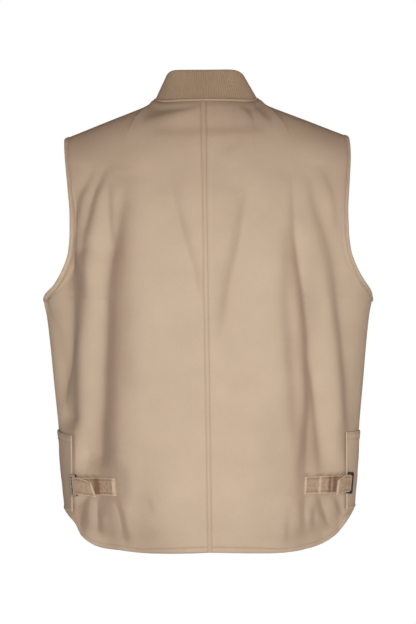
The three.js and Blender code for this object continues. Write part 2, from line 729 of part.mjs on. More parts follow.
for (const side of SIDES) {
  add(`back_${side.name}`, panelGeometry(backOf(side), side.sign), TWILL);
  add(`front_${side.name}`, panelGeometry(FRONT, side.sign), TWILL);
  add(`armhole_binding_${side.name}`, armholeBinding(side), TWILL);
  add(`pocket_${side.name}`, pocket(side.sign), TWILL);
  add(`waist_strap_${side.name}`, waistStrap(side), TWILL);
  add(`slide_tab_${side.name}`, slideTab(side), TWILL);
  add(`slide_${side.name}`, slide(side), METAL);
}
add("back_seam", backSeam(), TWILL);
add("front_zip", frontZip(), ZIP_TAPE);
add("neck_binding", neckBinding(), TWILL);
add("collar", collar(), KNIT);

export default waistcoat;
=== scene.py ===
"""Looks of a sleeveless twill work waistcoat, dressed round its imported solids.

The cloth is cut again from the body form of the solids, much finer, with its folds, turned hems, felled
seams and stitches. Sizes are millimetres in the part's own frame: +Z is up, +Y is the wearer's front and
+X the wearer's right hand. Meshes are written in metres.
"""

import logging
import math
from dataclasses import dataclass
from enum import Enum
from typing import Callable, NamedTuple, Sequence

import bpy
import numpy as np
from bpy.types import Material, MeshVertex, Node, NodeSocket, NodeTree, Object
from mathutils import Matrix, Vector


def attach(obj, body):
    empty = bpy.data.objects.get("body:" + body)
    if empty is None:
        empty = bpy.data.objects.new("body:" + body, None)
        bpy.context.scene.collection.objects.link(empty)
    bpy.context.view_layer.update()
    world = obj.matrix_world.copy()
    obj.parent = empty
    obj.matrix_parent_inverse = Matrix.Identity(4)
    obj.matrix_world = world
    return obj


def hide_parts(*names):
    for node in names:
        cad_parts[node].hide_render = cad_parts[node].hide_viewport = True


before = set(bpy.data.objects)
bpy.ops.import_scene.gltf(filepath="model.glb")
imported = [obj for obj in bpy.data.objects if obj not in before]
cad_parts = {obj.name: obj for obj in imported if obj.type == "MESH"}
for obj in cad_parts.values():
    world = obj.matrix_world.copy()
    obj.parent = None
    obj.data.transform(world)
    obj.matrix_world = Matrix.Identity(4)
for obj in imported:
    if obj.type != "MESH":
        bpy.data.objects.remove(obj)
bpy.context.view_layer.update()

Array = np.ndarray
Pair = tuple[float, float]
Triple = tuple[float, float, float]
MM = 0.001
CLOTH = 1.6
TRIM_CLOTH = 1.2
GAP = 0.5
SECTION_POWER = 2 / 2.25
ANGLE_STEP = 1e-4
ARMPIT_Z = -298.0
SIDE_HEM_Z = -613.0
HEM_FADE_Z = -430.0
YOKE_Z = -100.0
FOLD_RECOVERY = 3.2
FAR_WIDTHS = 20
STITCH_DIP = 0.9
WAVE_SPREAD = (0.7, 1.5)
SIDEWAYS = np.array([1.0, 0.0, 0.0])
LEVEL = np.array([1.0, 1.0, 0.0])
VIEW_POINT = (0.0, -4000.0, -318.0)

log = logging.getLogger("waistcoat")


class Side(Enum):
    """Side of the wearer, as the sign of x."""

    LEFT = -1
    RIGHT = 1

    @property
    def label(self) -> str:
        """Word for the side in the names of pieces."""
        return self.name.lower()

    def pick(self, pair: Pair) -> float:
        """The left or the right one of a pair of values."""
        return pair[0] if self is Side.LEFT else pair[1]


class Facing(Enum):
    """Back or front of the body, as the sign of y."""

    BACK = -1
    FRONT = 1


class Section(NamedTuple):
    """Level of the body form: half width, and depths behind and before the side line."""

    z: float
    half_width: float
    back: float
    front: float


class Reach(NamedTuple):
    """How far a panel reaches from the centre line at one level of its armhole."""

    z: float
    x: float


class HemPoint(NamedTuple):
    """Point of a hem: its reach as a share of the half width, and its rise as a share of the hem's drop."""

    reach: float
    rise: float


class Shade(NamedTuple):
    """Soft patch of painted shade on the back: its middle, its reach across and up, and its depth."""

    x: float
    z: float
    width: float
    height: float
    depth: float

    def at(self, x: Array, z: Array) -> Array:
        """Painted shade of the patch at a place."""
        return self.depth * bump(x, self.x, self.width) * bump(z, self.z, self.height)


class Band(NamedTuple):
    """Soft band of painted shade, or of thicker cloth: its place along a measure, its half width and its
    depth.
    """

    place: float
    width: float
    depth: float

    def at(self, value: Array) -> Array:
        """Depth of the band at a value of the measure."""
        return self.depth * bump(value, self.place, self.width)


class Zone(NamedTuple):
    """Zone of the back under a strap or a pocket: soft limits below, above and towards the centre."""

    begin: Pair
    end: Pair
    inner: Pair

    def share(self, x: Array, z: Array | float) -> Array:
        """1 inside the zone and 0 outside it."""
        return window(z, self.begin, self.end) * smoothstep(x, *self.inner)


class FoldRow(NamedTuple):
    """Point of a soft fold: its place, how steeply the cloth turns off there, and its widths in and out."""

    z: float
    x: float
    slope: float
    inner: float = 8
    outer: float = 6


Folds = dict[str, tuple[FoldRow, ...]]

BODY_SECTIONS = (
    Section(-690, 214, 133, 131), Section(-613, 215, 132, 131), Section(-560, 219.6, 129, 130),
    Section(-500, 223.3, 126, 129), Section(-420, 230.7, 122, 128), Section(-350, 237.2, 124, 129),
    Section(-322, 240.7, 126, 129), Section(-298, 245.5, 128, 129), Section(-250, 251, 131, 127),
    Section(-200, 250, 131, 121), Section(-150, 242, 124, 109), Section(-100, 228, 109, 91),
)
BACK_ARMHOLE = (
    Reach(-298, 245.5), Reach(-289, 242), Reach(-274, 230.6), Reach(-259, 221.4), Reach(-244, 214.5),
    Reach(-230, 209.9), Reach(-201, 206.4), Reach(-171, 205.9), Reach(-141, 207.9), Reach(-100, 211.6),
)
FRONT_ARMHOLE = (
    Reach(-298, 245.5), Reach(-288, 239), Reach(-270, 223), Reach(-250, 208), Reach(-220, 198),
    Reach(-180, 192), Reach(-140, 194), Reach(-100, 201),
)
H = HemPoint
BACK_HEM = {
    Side.LEFT: (
        H(0, 0.024), H(0.11, 0.01), H(0.25, 0.004), H(0.4, 0.012), H(0.5, 0.036), H(0.6, 0.076),
        H(0.71, 0.112), H(0.77, 0.16), H(0.82, 0.245), H(0.88, 0.415), H(0.935, 0.77), H(0.97, 0.89), H(1, 1),
    ),
    Side.RIGHT: (
        H(0, 0.024), H(0.11, 0.012), H(0.27, -0.003), H(0.44, -0.01), H(0.5, -0.004), H(0.55, 0.012),
        H(0.6, 0.032), H(0.66, 0.077), H(0.71, 0.118), H(0.77, 0.197), H(0.82, 0.287), H(0.88, 0.443),
        H(0.93, 0.645), H(1, 1),
    ),
}
FRONT_HEM = (H(0, 0), H(0.5, 0.03), H(0.7, 0.11), H(0.8, 0.22), H(0.9, 0.47), H(1, 1))
R = FoldRow
BACK_FOLDS = {
    "left_long_crease": (
        R(-118, -112, 0), R(-161, -119, 0.3, 9, 7), R(-197, -124, 0.6, 10, 8), R(-241, -131, 1.0, 13, 11),
        R(-299, -137, 1.1, 15, 11), R(-372, -140, 1.1, 15, 14), R(-445, -143, 1.1, 15, 14),
        R(-500, -147, 1.0, 18, 16), R(-548, -148, 1.25, 18, 16), R(-575, -147, 1.2, 17, 15),
        R(-600, -146, 0.8, 15, 13), R(-655, -140, 0.5, 15, 13), R(-688, -138, 0),
    ),
    "left_armhole_short_crease": (
        R(-120, -140, 0), R(-148, -139, 0.4, 5, 4.5), R(-178, -139, 0.45, 5, 4.5),
        R(-205, -138, 0.25, 5, 4.5), R(-225, -137, 0),
    ),
    "left_armhole_crease": (
        R(-104, -145, 0), R(-118, -150, 0.3, 6, 5), R(-145, -161, 0.7, 7, 5), R(-175, -168, 0.75, 8, 6),
        R(-204, -175, 0.7, 9, 7), R(-245, -180, 0.72, 10, 8), R(-300, -182, 0),
    ),
    "left_armhole_outer_crease": (
        R(-96, -162, 0), R(-118, -170, 0.2, 6, 5), R(-148, -185, 0.55, 7, 6), R(-175, -191, 0.65, 8, 6),
        R(-205, -195, 0.5, 9, 7), R(-225, -197, 0),
    ),
    "left_side_crease": (
        R(-195, -197, 0), R(-225, -198, 0.7, 9, 7), R(-245, -196, 1.1, 11, 9), R(-290, -191, 0.95, 14, 13),
        R(-328, -194.5, 0.95, 12, 12), R(-372, -197, 0.95, 12, 12), R(-446, -199, 0.9, 12, 12),
        R(-500, -202, 0.75, 10, 11), R(-535, -204, 0),
    ),
    "left_side_branch": (
        R(-330, -196, 0), R(-380, -206, 0.35, 6, 5), R(-430, -217, 0.5, 6, 5), R(-470, -225, 0),
    ),
    "left_centre_dent": (
        R(-110, -52, 0), R(-140, -46, 0.2, 8, 5), R(-199, -33, 0.3, 8, 4), R(-260, -16, 0.3, 8, 4),
        R(-310, -8, 0),
    ),
    "right_centre_dent": (
        R(-135, 54, 0), R(-160, 50, 0.25, 9, 5), R(-214, 42, 0.4, 10, 5), R(-279, 27, 0.42, 10, 5),
        R(-325, 20, 0.3, 10, 5), R(-365, 13, 0),
    ),
    "right_long_crease": (
        R(-112, 120, 0), R(-150, 122, 0.22, 6, 3), R(-200, 123, 0.45, 9, 3.5), R(-241, 127, 0.75, 10, 4.5),
        R(-302, 136, 0.88, 10, 5), R(-375, 142, 0.9, 10, 5.5), R(-448, 142, 0.85, 9, 6),
        R(-505, 137, 0.85, 10, 7), R(-550, 134, 0.8, 10, 8), R(-575, 134, 0.7, 11, 9),
        R(-600, 134, 0.32, 14, 11), R(-655, 130, 0.2, 14, 11), R(-690, 128, 0),
    ),
    "right_outer_crease": (
        R(-385, 146, 0), R(-430, 151, 0.7, 6, 4.5), R(-505, 157, 0.65, 8, 6.5), R(-548, 160, 0.45, 8, 7),
        R(-575, 160, 0.4, 9, 8), R(-600, 160, 0.4, 10, 9), R(-645, 158, 0.3, 10, 9), R(-675, 156, 0),
    ),
    "right_inner_dent": (
        R(-180, 110, 0), R(-241, 110, 0.35, 9, 9), R(-302, 110, 0.45, 11, 10), R(-375, 114, 0.55, 12, 10),
        R(-448, 118, 0.5, 11, 9), R(-535, 119, 0),
    ),
    "right_side_crease": (
        R(-115, 147, 0), R(-150, 151, 0.25, 8, 7), R(-176, 157, 0.32, 9, 8), R(-200, 165, 0.38, 11, 8),
        R(-246, 177, 0.45, 13, 11), R(-302, 184.5, 0.6, 10, 8), R(-340, 189.5, 0.6, 10, 7),
        R(-372, 193, 0.62, 9, 7), R(-446, 198.5, 0.65, 9, 8), R(-519, 202, 0.75, 7, 7), R(-545, 203, 0),
    ),
    "right_armhole_crease": (
        R(-100, 164, 0), R(-125, 175, 0.15, 6, 5), R(-150, 184, 0.22, 6, 5), R(-178, 188, 0.2, 6, 5),
        R(-205, 190, 0),
    ),
    "left_tail_side": (
        R(-588, -184, 0), R(-605, -188, 0.8, 13, 10), R(-635, -188, 0.6, 13, 10), R(-660, -186, 0),
    ),
    "right_tail_side": (
        R(-588, 186, 0), R(-605, 188, 0.3, 12, 10), R(-635, 188, 0.25, 12, 10), R(-660, 187, 0),
    ),
    "left_tail_pucker_1": (
        R(-582, -177, 0), R(-600, -183, 1.1, 5, 2), R(-618, -187, 1.1, 5, 2), R(-636, -190, 0),
    ),
    "left_tail_pucker_2": (
        R(-584, -160, 0), R(-600, -161, 1.2, 5, 2), R(-622, -161, 1.1, 5, 2), R(-648, -158, 0),
    ),
    "left_tail_pucker_3": (R(-582, -147, 0), R(-596, -151, 0.9, 4, 2.5), R(-618, -156, 0)),
    "left_tail_pucker_4": (
        R(-580, -136, 0), R(-600, -131, 0.9, 5, 2), R(-630, -125, 1.0, 5, 2), R(-665, -117, 0),
    ),
    "left_tail_pucker_5": (R(-580, -88, 0), R(-597, -84, 0.22, 5, 3), R(-620, -81, 0)),
    "right_tail_pucker_1": (R(-580, 135, 0), R(-605, 135, 0.8, 5, 2), R(-650, 136, 0)),
    "right_tail_pucker_2": (R(-594, 151, 0), R(-618, 150, 0.8, 4, 2.5), R(-645, 149, 0)),
    "right_tail_pucker_3": (
        R(-582, 154, 0), R(-605, 162, 0.8, 5, 2), R(-625, 169, 0.65, 5, 2), R(-642, 174, 0),
    ),
    "right_tail_pucker_4": (R(-584, 182, 0), R(-605, 189, 0.7, 5, 2.5), R(-634, 199, 0)),
    "right_tail_pucker_5": (R(-590, 116, 0), R(-635, 112, 0.35, 5, 3), R(-672, 110, 0)),
}
FRONT_FOLDS = {
    "inner_dent": (R(-170, 72, 0), R(-280, 66, 0.25, 15, 12), R(-420, 58, 0.15, 15, 12), R(-460, 57, 0)),
    "outer_dent": (R(-210, 116, 0), R(-340, 122, 0.3, 14, 12), R(-480, 130, 0)),
    "armhole_crease": (R(-140, 148, 0), R(-230, 158, 0.3, 10, 8), R(-330, 170, 0)),
    "hem_dent": (R(-450, 40, 0), R(-540, 46, 0.15, 13, 12), R(-605, 50, 0)),
}
NECK_CREASES = {
    "left_arc": (
        R(-98, -36, 0), R(-87, -31.4, -0.25, 12, 6), R(-75, -28, -0.4, 13, 6), R(-64, -25, -0.45, 13, 6),
        R(-50, -23, -0.45, 12, 6), R(-33, -20, -0.4, 9, 5), R(-15, -14.5, -0.3, 6, 5), R(-4, -11.5, 0),
    ),
    "right_slant": (R(46, -12, 0), R(55, -18, -0.3, 6, 4), R(63, -26, -0.35, 6, 4), R(70, -34, 0)),
    "right_shoulder_slant": (R(68, -14, 0), R(76, -20, -0.35, 7, 4), R(86, -30, -0.35, 7, 4), R(98, -38, 0)),
    "yoke_dent": (
        R(-98, -58, 0), R(-60, -54, -0.16, 8, 8), R(0, -54, -0.2, 8, 8), R(58, -52, -0.2, 8, 8),
        R(92, -50, 0),
    ),
    "right_low_dent": (R(16, -88, 0), R(35, -80, -0.12, 8, 8), R(56, -72, 0)),
}

# Soft patches of painted shade on the back, where the cloth falls in shade.
BACK_SHADES = (
    Shade(-117, -340, 18, 180, 0.6), Shade(-72, -400, 40, 200, 0.12), Shade(-100, -620, 20, 45, 0.3),
    Shade(-85, -575, 18, 45, 0.3), Shade(-85, -652, 24, 24, 0.4), Shade(-198, -628, 16, 26, 0.8),
    Shade(136, -652, 32, 18, 0.35), Shade(178, -588, 14, 8, 0.5), Shade(-140, -500, 14, 70, 0.45),
    Shade(-187, -288, 14, 60, 0.6), Shade(-206, -272, 12, 16, 0.45), Shade(-208, -452, 10, 38, 0.4),
    Shade(-140, -95, 42, 35, 0.3), Shade(-172, -540, 12, 30, 0.3), Shade(-150, -542, 12, 20, 0.35),
    Shade(150, -310, 14, 80, 0.4), Shade(150, -530, 14, 35, 0.4), Shade(94, -540, 22, 80, 0.28),
    Shade(126, -525, 14, 75, 0.3),
)
STRAP_ZONE = Zone((-626, -590), (-556, -520), (100, 134))
POCKET_ZONE = Zone((-650, -612), (-500, -470), (182, 200))
# Painted shadows beside the felled seam, under the straps' edges, beside the pocket's back edge and under the
# collar.
SEAM_SHADE = Band(4.4, 0.9, 1.0)
STRAP_EDGE_SHADOWS = (Band(-558.4, 1.6, 0.9), Band(-586.2, 2, 0.25))
POCKET_EDGE_SHADOW = Band(199.2, 1.5, 0.7)
COLLAR_SHADOW = Band(0, 9, 1.0)


def lerp(start: Array | float, end: Array | float, share: Array | float) -> Array:
    """Value at a share of the way from start to end."""
    return start + (end - start) * share


def smoothstep(value: Array | float, low: float, high: float) -> Array:
    """Smooth rise from 0 at low to 1 at high."""
    share = np.clip((np.asarray(value, float) - low) / (high - low), 0.0, 1.0)
    return share * share * (3 - 2 * share)


def fading(value: Array | float, low: float, high: float) -> Array:
    """Smooth fall from 1 at low to 0 at high."""
    return 1 - smoothstep(value, low, high)


def ending(value: Array, place: float, soft: float) -> Array:
    """Smooth fall from 1 to 0 about a place, over a soft stretch on either side."""
    return fading(value, place - soft, place + soft)


def window(value: Array | float, begin: Pair, end: Pair) -> Array:
    """1 between two soft limits, which open and close over their own pair of values."""
    return smoothstep(value, *begin) * fading(value, *end)


def bump(value: Array, place: float, width: float) -> Array:
    """Soft bump of height 1 at a place, which fades over its width on either side."""
    return np.exp(-(((value - place) / width) ** 2))


def stitch_dip(distance: Array, place: float) -> Array:
    """Dip that a row of stitches pulls into the cloth."""
    return bump(distance, place, STITCH_DIP)


def hermite(u: Array, start: Array, leave: Array, end: Array, arrive: Array) -> Array:
    """Smooth run from start to end, with the slopes at which it leaves and arrives."""
    leaving = (2 * u**3 - 3 * u**2 + 1) * start + (u**3 - 2 * u**2 + u) * leave
    return leaving + (3 * u**2 - 2 * u**3) * end + (u**3 - u**2) * arrive


def unit(vectors: Array) -> Array:
    """Vectors of length 1 in the same directions."""
    return vectors / np.maximum(np.linalg.norm(vectors, axis=-1, keepdims=True), 1e-12)


def stack(x: Array, y: Array, z: Array) -> Array:
    """Points from their coordinates, which are spread to one common shape."""
    return np.stack(np.broadcast_arrays(x, y, z), axis=-1).astype(float)


def shares(columns: int, fine: int, fine_share: float) -> Array:
    """Shares from 0 to 1 in columns, of which the fine ones run close together up to fine_share."""
    even = np.linspace(fine_share, 1, columns - fine + 1)
    return np.concatenate([np.linspace(0, fine_share, fine + 1)[:-1], even])


def run_length(points: Array, axis: int = 0) -> Array:
    """Distance covered from the start along one axis of a line or grid of points."""
    walked = np.cumsum(np.linalg.norm(np.diff(points, axis=axis), axis=-1), axis=axis)
    return np.concatenate([np.zeros_like(np.take(walked, [0], axis=axis)), walked], axis=axis)


def ripple(u: Array, v: Array | float, wavelength: float, seed: int, waves: int = 7) -> Array:
    """Smooth random waviness of about unit size, the same on every run.

    Args:
        u: First coordinate of the points.
        v: Second coordinate of the points, or 0 for waves along the first only.
        wavelength: Middle length of the waves, in the unit of the coordinates.
        seed: Start of the random draws.
        waves: Number of waves added together.

    Returns:
        The height at every point.
    """
    draw = np.random.default_rng(seed)
    total = np.zeros(np.broadcast(u, v).shape)
    for _ in range(waves):
        angle, phase = draw.uniform(0, 2 * math.pi, 2)
        pitch = 2 * math.pi / (wavelength * draw.uniform(*WAVE_SPREAD))
        total += np.cos(pitch * (u * math.cos(angle) + v * math.sin(angle)) + phase)
    return total / math.sqrt(waves)


class MonotoneCurve:
    """Smooth curve through the rows of a table, which never overshoots them."""

    def __init__(self, at: Sequence[float], value: Sequence[float]) -> None:
        """Takes the rows of the table.

        Args:
            at: Places of the rows, rising.
            value: Value at each place.
        """
        self.at, self.value = np.array(at, float), np.array(value, float)
        slope = np.diff(self.value) / np.diff(self.at)
        before, after = np.append(slope[:1], slope), np.append(slope, slope[-1:])
        total = np.where(before * after > 0, before + after, 1.0)
        self.tangent = np.where(before * after > 0, 2 * before * after / total, 0.0)

    def __call__(self, place: Array | float) -> Array:
        """Value of the curve at a place.

        Args:
            place: Where to look.

        Returns:
            The values.
        """
        i = np.clip(np.searchsorted(self.at, place) - 1, 0, len(self.at) - 2)
        span = self.at[i + 1] - self.at[i]
        u = np.clip((place - self.at[i]) / span, 0, 1)
        leave, arrive = span * self.tangent[i], span * self.tangent[i + 1]
        return hermite(u, self.value[i], leave, self.value[i + 1], arrive)


def folded(folds: Folds, along: Array, aside: Array) -> tuple[Array, Array]:
    """How the folds push the cloth in or out, and how far it turns off.

    Each fold swells on the side of it that is nearer the centre and dips on the other, so that the cloth
    between turns off from the light.

    Args:
        folds: Rows of each fold, by its name.
        along: Position of each point along the folds' run.
        aside: Position of each point across the folds.

    Returns:
        The height and the steepness of the folds at every point.
    """
    height, turned = np.zeros_like(along), np.zeros_like(along)
    for rows in folds.values():
        at, place, slope, inner, outer = zip(*sorted(rows))
        line = MonotoneCurve(at, place)
        lean = (line(along + 1) - line(along - 1)) / 2
        beyond = (aside - line(along)) * np.sign(place[0]) / np.sqrt(1 + lean**2)
        width = np.where(beyond < 0, np.interp(along, at, inner), np.interp(along, at, outer))
        steep = MonotoneCurve(at, slope)(along) * ((along > at[0]) & (along < at[-1]))
        fade = np.exp(-((beyond / (FOLD_RECOVERY * width)) ** 2) / 2)
        height -= steep * width * np.tanh(beyond / width) * fade
        turned += np.abs(steep) / np.cosh(np.minimum(np.abs(beyond / width), FAR_WIDTHS)) ** 2
    return height, turned


class BodyForm:
    """Closed form that the cloth hangs round, as a section at every level."""

    def __init__(self, sections: Sequence[Section]) -> None:
        """Takes the form's sections.

        Args:
            sections: Sections from the lowest to the highest.
        """
        z, half_width, back, front = zip(*sections)
        self.half_width = MonotoneCurve(z, half_width)
        self.depths = {Facing.BACK: MonotoneCurve(z, back), Facing.FRONT: MonotoneCurve(z, front)}

    def point(self, angle: Array, z: Array) -> Array:
        """Points of the form.

        Args:
            angle: Angle from 0 at the centre back to pi at the centre front.
            z: Level.

        Returns:
            The points.
        """
        depth = np.where(angle < math.pi / 2, self.depths[Facing.BACK](z), self.depths[Facing.FRONT](z))
        across = np.abs(np.sin(angle)) ** SECTION_POWER
        along = np.abs(np.cos(angle)) ** SECTION_POWER * np.sign(np.cos(angle))
        return stack(self.half_width(z) * across, -depth * along, z)

    def back_angle(self, x: Array | float, z: Array | float) -> Array:
        """Angle behind the side line at which the form is x from the centre plane."""
        return np.arcsin(np.minimum(1.0, x / self.half_width(z)) ** (1 / SECTION_POWER))

    def normal(self, angle: Array, z: Array) -> Array:
        """Outward direction, level with the ground."""
        run = self.point(angle + ANGLE_STEP, z) - self.point(angle - ANGLE_STEP, z)
        return unit(stack(run[..., 1], -run[..., 0], np.zeros_like(run[..., 0])))


@dataclass(frozen=True)
class Neckline:
    """Neck edge of the panels, and the shoulder seams that run out from it."""

    half_width: float = 78
    back: float = 78
    front: float = 80
    back_drop: float = 8
    drop_power: int = 10
    front_drop: float = 74
    tip_x: float = 211.6
    seam_y: float = 4
    slope: float = 0.388
    flare: float = 5.6
    flare_length: float = 5

    def point(self, angle: Array) -> Array:
        """Points of the neck edge.

        Args:
            angle: Angle from the centre back.

        Returns:
            The points.
        """
        sine, cosine = np.sin(angle), np.cos(angle)
        depth = np.where(cosine > 0, self.back, self.front)
        behind, before = self.back_drop * (1 - sine**self.drop_power), self.front_drop * cosine**2
        return stack(self.half_width * sine, -depth * cosine, -np.where(cosine > 0, behind, before))

    def seam(self, share: Array) -> Array:
        """Points of the shoulder seam.

        Args:
            share: Share of the seam's run from the neck to the tip.

        Returns:
            The points.
        """
        out = lerp(0.0, self.tip_x - self.half_width, share)
        drop = self.slope * out + self.flare * (1 - np.exp(-out / self.flare_length))
        return stack(self.half_width + out, self.seam_y * smoothstep(share, 0, 1), -drop)


@dataclass(frozen=True)
class PanelCut:
    """Cut of one half of the back or the front, on the wearer's right."""

    form: BodyForm
    neckline: Neckline
    facing: Facing
    centre_x: float
    armhole: MonotoneCurve
    hem: MonotoneCurve
    hem_drop: float
    neck_share: float
    neck_lean: Triple
    tuck: float = 0
    tuck_levels: tuple[float, float, float, float] = (-298, -276, -240, 100)
    side_row_power: float = 1.3
    armhole_row_power: float = 2.4
    neck_turn: Triple = (-0.3, 0.85, 0.17)
    shoulder_turn_share: float = 0.25

    def reach(self, level: Array) -> Array:
        """How far the panel reaches out.

        Args:
            level: Level of the armhole.

        Returns:
            The distance from the centre plane.
        """
        start, full, ease, end = self.tuck_levels
        drawn = smoothstep(level, start, full) * (1 - np.clip((level - ease) / (end - ease), 0, 1))
        return self.armhole(level) - self.tuck * drawn

    def angle(self, x: Array | float, z: Array) -> Array:
        """Angle on the panel's own side of the form at which it is x from the centre plane."""
        angle = self.form.back_angle(x, z)
        return angle if self.facing is Facing.BACK else math.pi - angle

    def row(self, s: Array, level: Array) -> Array:
        """Points of a row below the shoulder.

        Args:
            s: Share of the way out from the centre line.
            level: Height of the row at its outer edge.

        Returns:
            The points.
        """
        outer = np.where(level < ARMPIT_Z, math.pi / 2, self.angle(self.reach(level), level))
        angle = lerp(self.angle(self.centre_x, level), outer, s)
        reach = np.sin(angle) ** SECTION_POWER
        drop = self.hem_drop * fading(level, SIDE_HEM_Z, HEM_FADE_Z)
        return self.form.point(angle, level - drop * (1 - self.hem(reach)))

    def neck_angle(self, share: Array) -> Array:
        """Angle round the neck at a share of the panel's neck edge."""
        from_centre = lerp(math.asin(self.centre_x / self.neckline.half_width), math.pi / 2, share)
        return from_centre if self.facing is Facing.BACK else math.pi - from_centre

    def top_edge(self, s: Array) -> Array:
        """Points of the upper edge: round the neck, then out along the shoulder seam.

        Args:
            s: Share of the way out from the centre line.

        Returns:
            The points.
        """
        neck = self.neckline.point(self.neck_angle(np.clip(s / self.neck_share, 0, 1)))
        out = np.clip((s - self.neck_share) / (1 - self.neck_share), 0, 1)
        return np.where((s < self.neck_share)[..., None], neck, self.neckline.seam(out))

    def top_direction(self, s: Array) -> Array:
        """Direction in which the cloth arrives at its upper edge.

        Args:
            s: Share of the way out from the centre line.

        Returns:
            The unit directions.
        """
        sign = self.facing.value
        at_neck = np.array(self.neck_turn) * (1, -sign, 1)
        over_shoulder = np.array([0.0, -sign, 0.0])
        near = lerp(np.array(self.neck_lean), at_neck, np.clip(s / self.neck_share, 0, 1)[..., None])
        turn = smoothstep(s, self.neck_share, self.neck_share + self.shoulder_turn_share)[..., None]
        return unit(np.where((s < self.neck_share)[..., None], near, lerp(at_neck, over_shoulder, turn)))

    def level(self, t: Array) -> Array:
        """Height of a row at its outer edge.

        Args:
            t: 0 to 1 up the side seam and 1 to 2 up the armhole.

        Returns:
            The height.
        """
        side = lerp(ARMPIT_Z, SIDE_HEM_Z, np.clip(1 - t, 0, 1) ** self.side_row_power)
        above = lerp(ARMPIT_Z, YOKE_Z, np.clip(t - 1, 0, 1) ** self.armhole_row_power)
        return np.where(t <= 1, side, above)

    def row_at(self, level: Array) -> Array:
        """Row that has a height at its outer edge.

        Args:
            level: The height.

        Returns:
            The value of t.
        """
        down, up = ((level - ARMPIT_Z) / (end - ARMPIT_Z) for end in (SIDE_HEM_Z, YOKE_Z))
        side = 1 - np.clip(down, 0, 1) ** (1 / self.side_row_power)
        above = np.clip(up, 0, 1) ** (1 / self.armhole_row_power)
        return np.where(level < ARMPIT_Z, side, 1 + above)

    def surface(self, s: Array, t: Array) -> Array:
        """Middle surface of the cloth.

        Args:
            s: Share of the way out from the centre line.
            t: 0 to 1 up the side seam, 1 to 2 up the armhole and 2 to 3 over the shoulder.

        Returns:
            The points.
        """
        lower = self.row(s, self.level(t))
        yoke = np.full_like(s, YOKE_Z)
        start, end = self.row(s, yoke), self.top_edge(s)
        length = np.linalg.norm(end - start, axis=-1, keepdims=True)
        leave = (start - self.row(s, yoke - 1)) * length
        arrive = self.top_direction(s) * length
        upper = hermite(np.clip(t - 2, 0, 1)[..., None], start, leave, end, arrive)
        return np.where((t <= 2)[..., None], lower, upper)


@dataclass
class Line:
    """Line on a surface, with the surface's outward direction at each point."""

    points: Array
    normals: Array

    @property
    def length(self) -> float:
        """Length of the line."""
        return run_length(self.points)[-1]

    def places(self, distance: Array | float, step: float) -> tuple[Array, Array, Array]:
        """Places at distances from the line's start.

        Args:
            distance: The distances.
            step: How far to look ahead and back for the line's direction.

        Returns:
            Points, directions along the line and outward directions.
        """
        walked = run_length(self.points)
        wanted = [(self.points, distance + shift) for shift in (0, step, -step)] + [(self.normals, distance)]
        at, ahead, behind, out = (
            np.stack([np.interp(place, walked, rows[:, k]) for k in range(3)], -1) for rows, place in wanted
        )
        return at, unit(ahead - behind), unit(out)


@dataclass
class Surface:
    """Vertices in millimetres, faces, and the flat position in millimetres of every face corner."""

    vertices: Array
    faces: list[tuple[int, ...]]
    corners: Array
    sharp_angle: float = 60
    # Depth of painted shade at each vertex; on the straps it also holds a small random mottle.
    crease: Array | None = None

    def to_object(self, name: str) -> Object:
        """Makes the mesh object, in metres, at the origin.

        Args:
            name: Name of the piece.

        Returns:
            The object, linked to the scene.
        """
        mesh = bpy.data.meshes.new(name)
        mesh.from_pydata((self.vertices * MM).tolist(), [], self.faces)
        uv = mesh.uv_layers.new(name="cloth")
        uv.data.foreach_set("uv", (self.corners * MM).astype(np.float32).ravel())
        if self.crease is not None:
            mark = mesh.attributes.new("crease", "FLOAT", "POINT")
            mark.data.foreach_set("value", self.crease.astype(np.float32))
        mesh.shade_smooth()
        mesh.set_sharp_from_angle(angle=math.radians(self.sharp_angle))
        mesh.validate()
        piece = bpy.data.objects.new(name, mesh)
        bpy.context.scene.collection.objects.link(piece)
        return piece


def grid_normals(points: Array, outward: Array) -> Array:
    """Directions square to a grid of points, on the side that is mostly outward."""
    normals = unit(np.cross(np.gradient(points, axis=1), np.gradient(points, axis=0)))
    return normals * np.sign((normals * outward).sum())


def shell(outer: Array, inner: Array, flat: Array, tone: Array) -> Surface:
    """Closed shell between two grids of points.

    Args:
        outer: Grid of the outer face.
        inner: Grid of the inner face.
        flat: Flat position of each grid point.
        tone: Depth of painted shade at each grid point, with the straps' small random mottle.

    Returns:
        The closed surface.
    """
    rows, columns = outer.shape[:2]
    index = np.arange(rows * columns).reshape(rows, columns)
    around = [index[:-1, :-1], index[:-1, 1:], index[1:, 1:], index[1:, :-1]]
    over = np.stack(around, -1).reshape(-1, 4)
    edge = np.concatenate([index[0, :-1], index[:-1, -1], index[-1, :0:-1], index[:0:-1, 0]])
    other = edge + rows * columns
    rim = np.stack([np.roll(edge, -1), edge, other, np.roll(other, -1)], -1)
    faces = np.concatenate([over, over[:, ::-1] + rows * columns, rim])
    facing = np.cross(np.gradient(outer, axis=1), np.gradient(outer, axis=0))
    if (facing * (outer - inner)).sum() < 0:
        faces = faces[:, ::-1]
    vertices, positions = (
        np.concatenate(grids).reshape(-1, grids[0].shape[-1]) for grids in ((outer, inner), (flat, flat))
    )
    corners = positions[faces.ravel()]
    crease = np.concatenate([tone.ravel()] * 2)
    return Surface(vertices, [tuple(face) for face in faces.tolist()], corners, crease=crease)


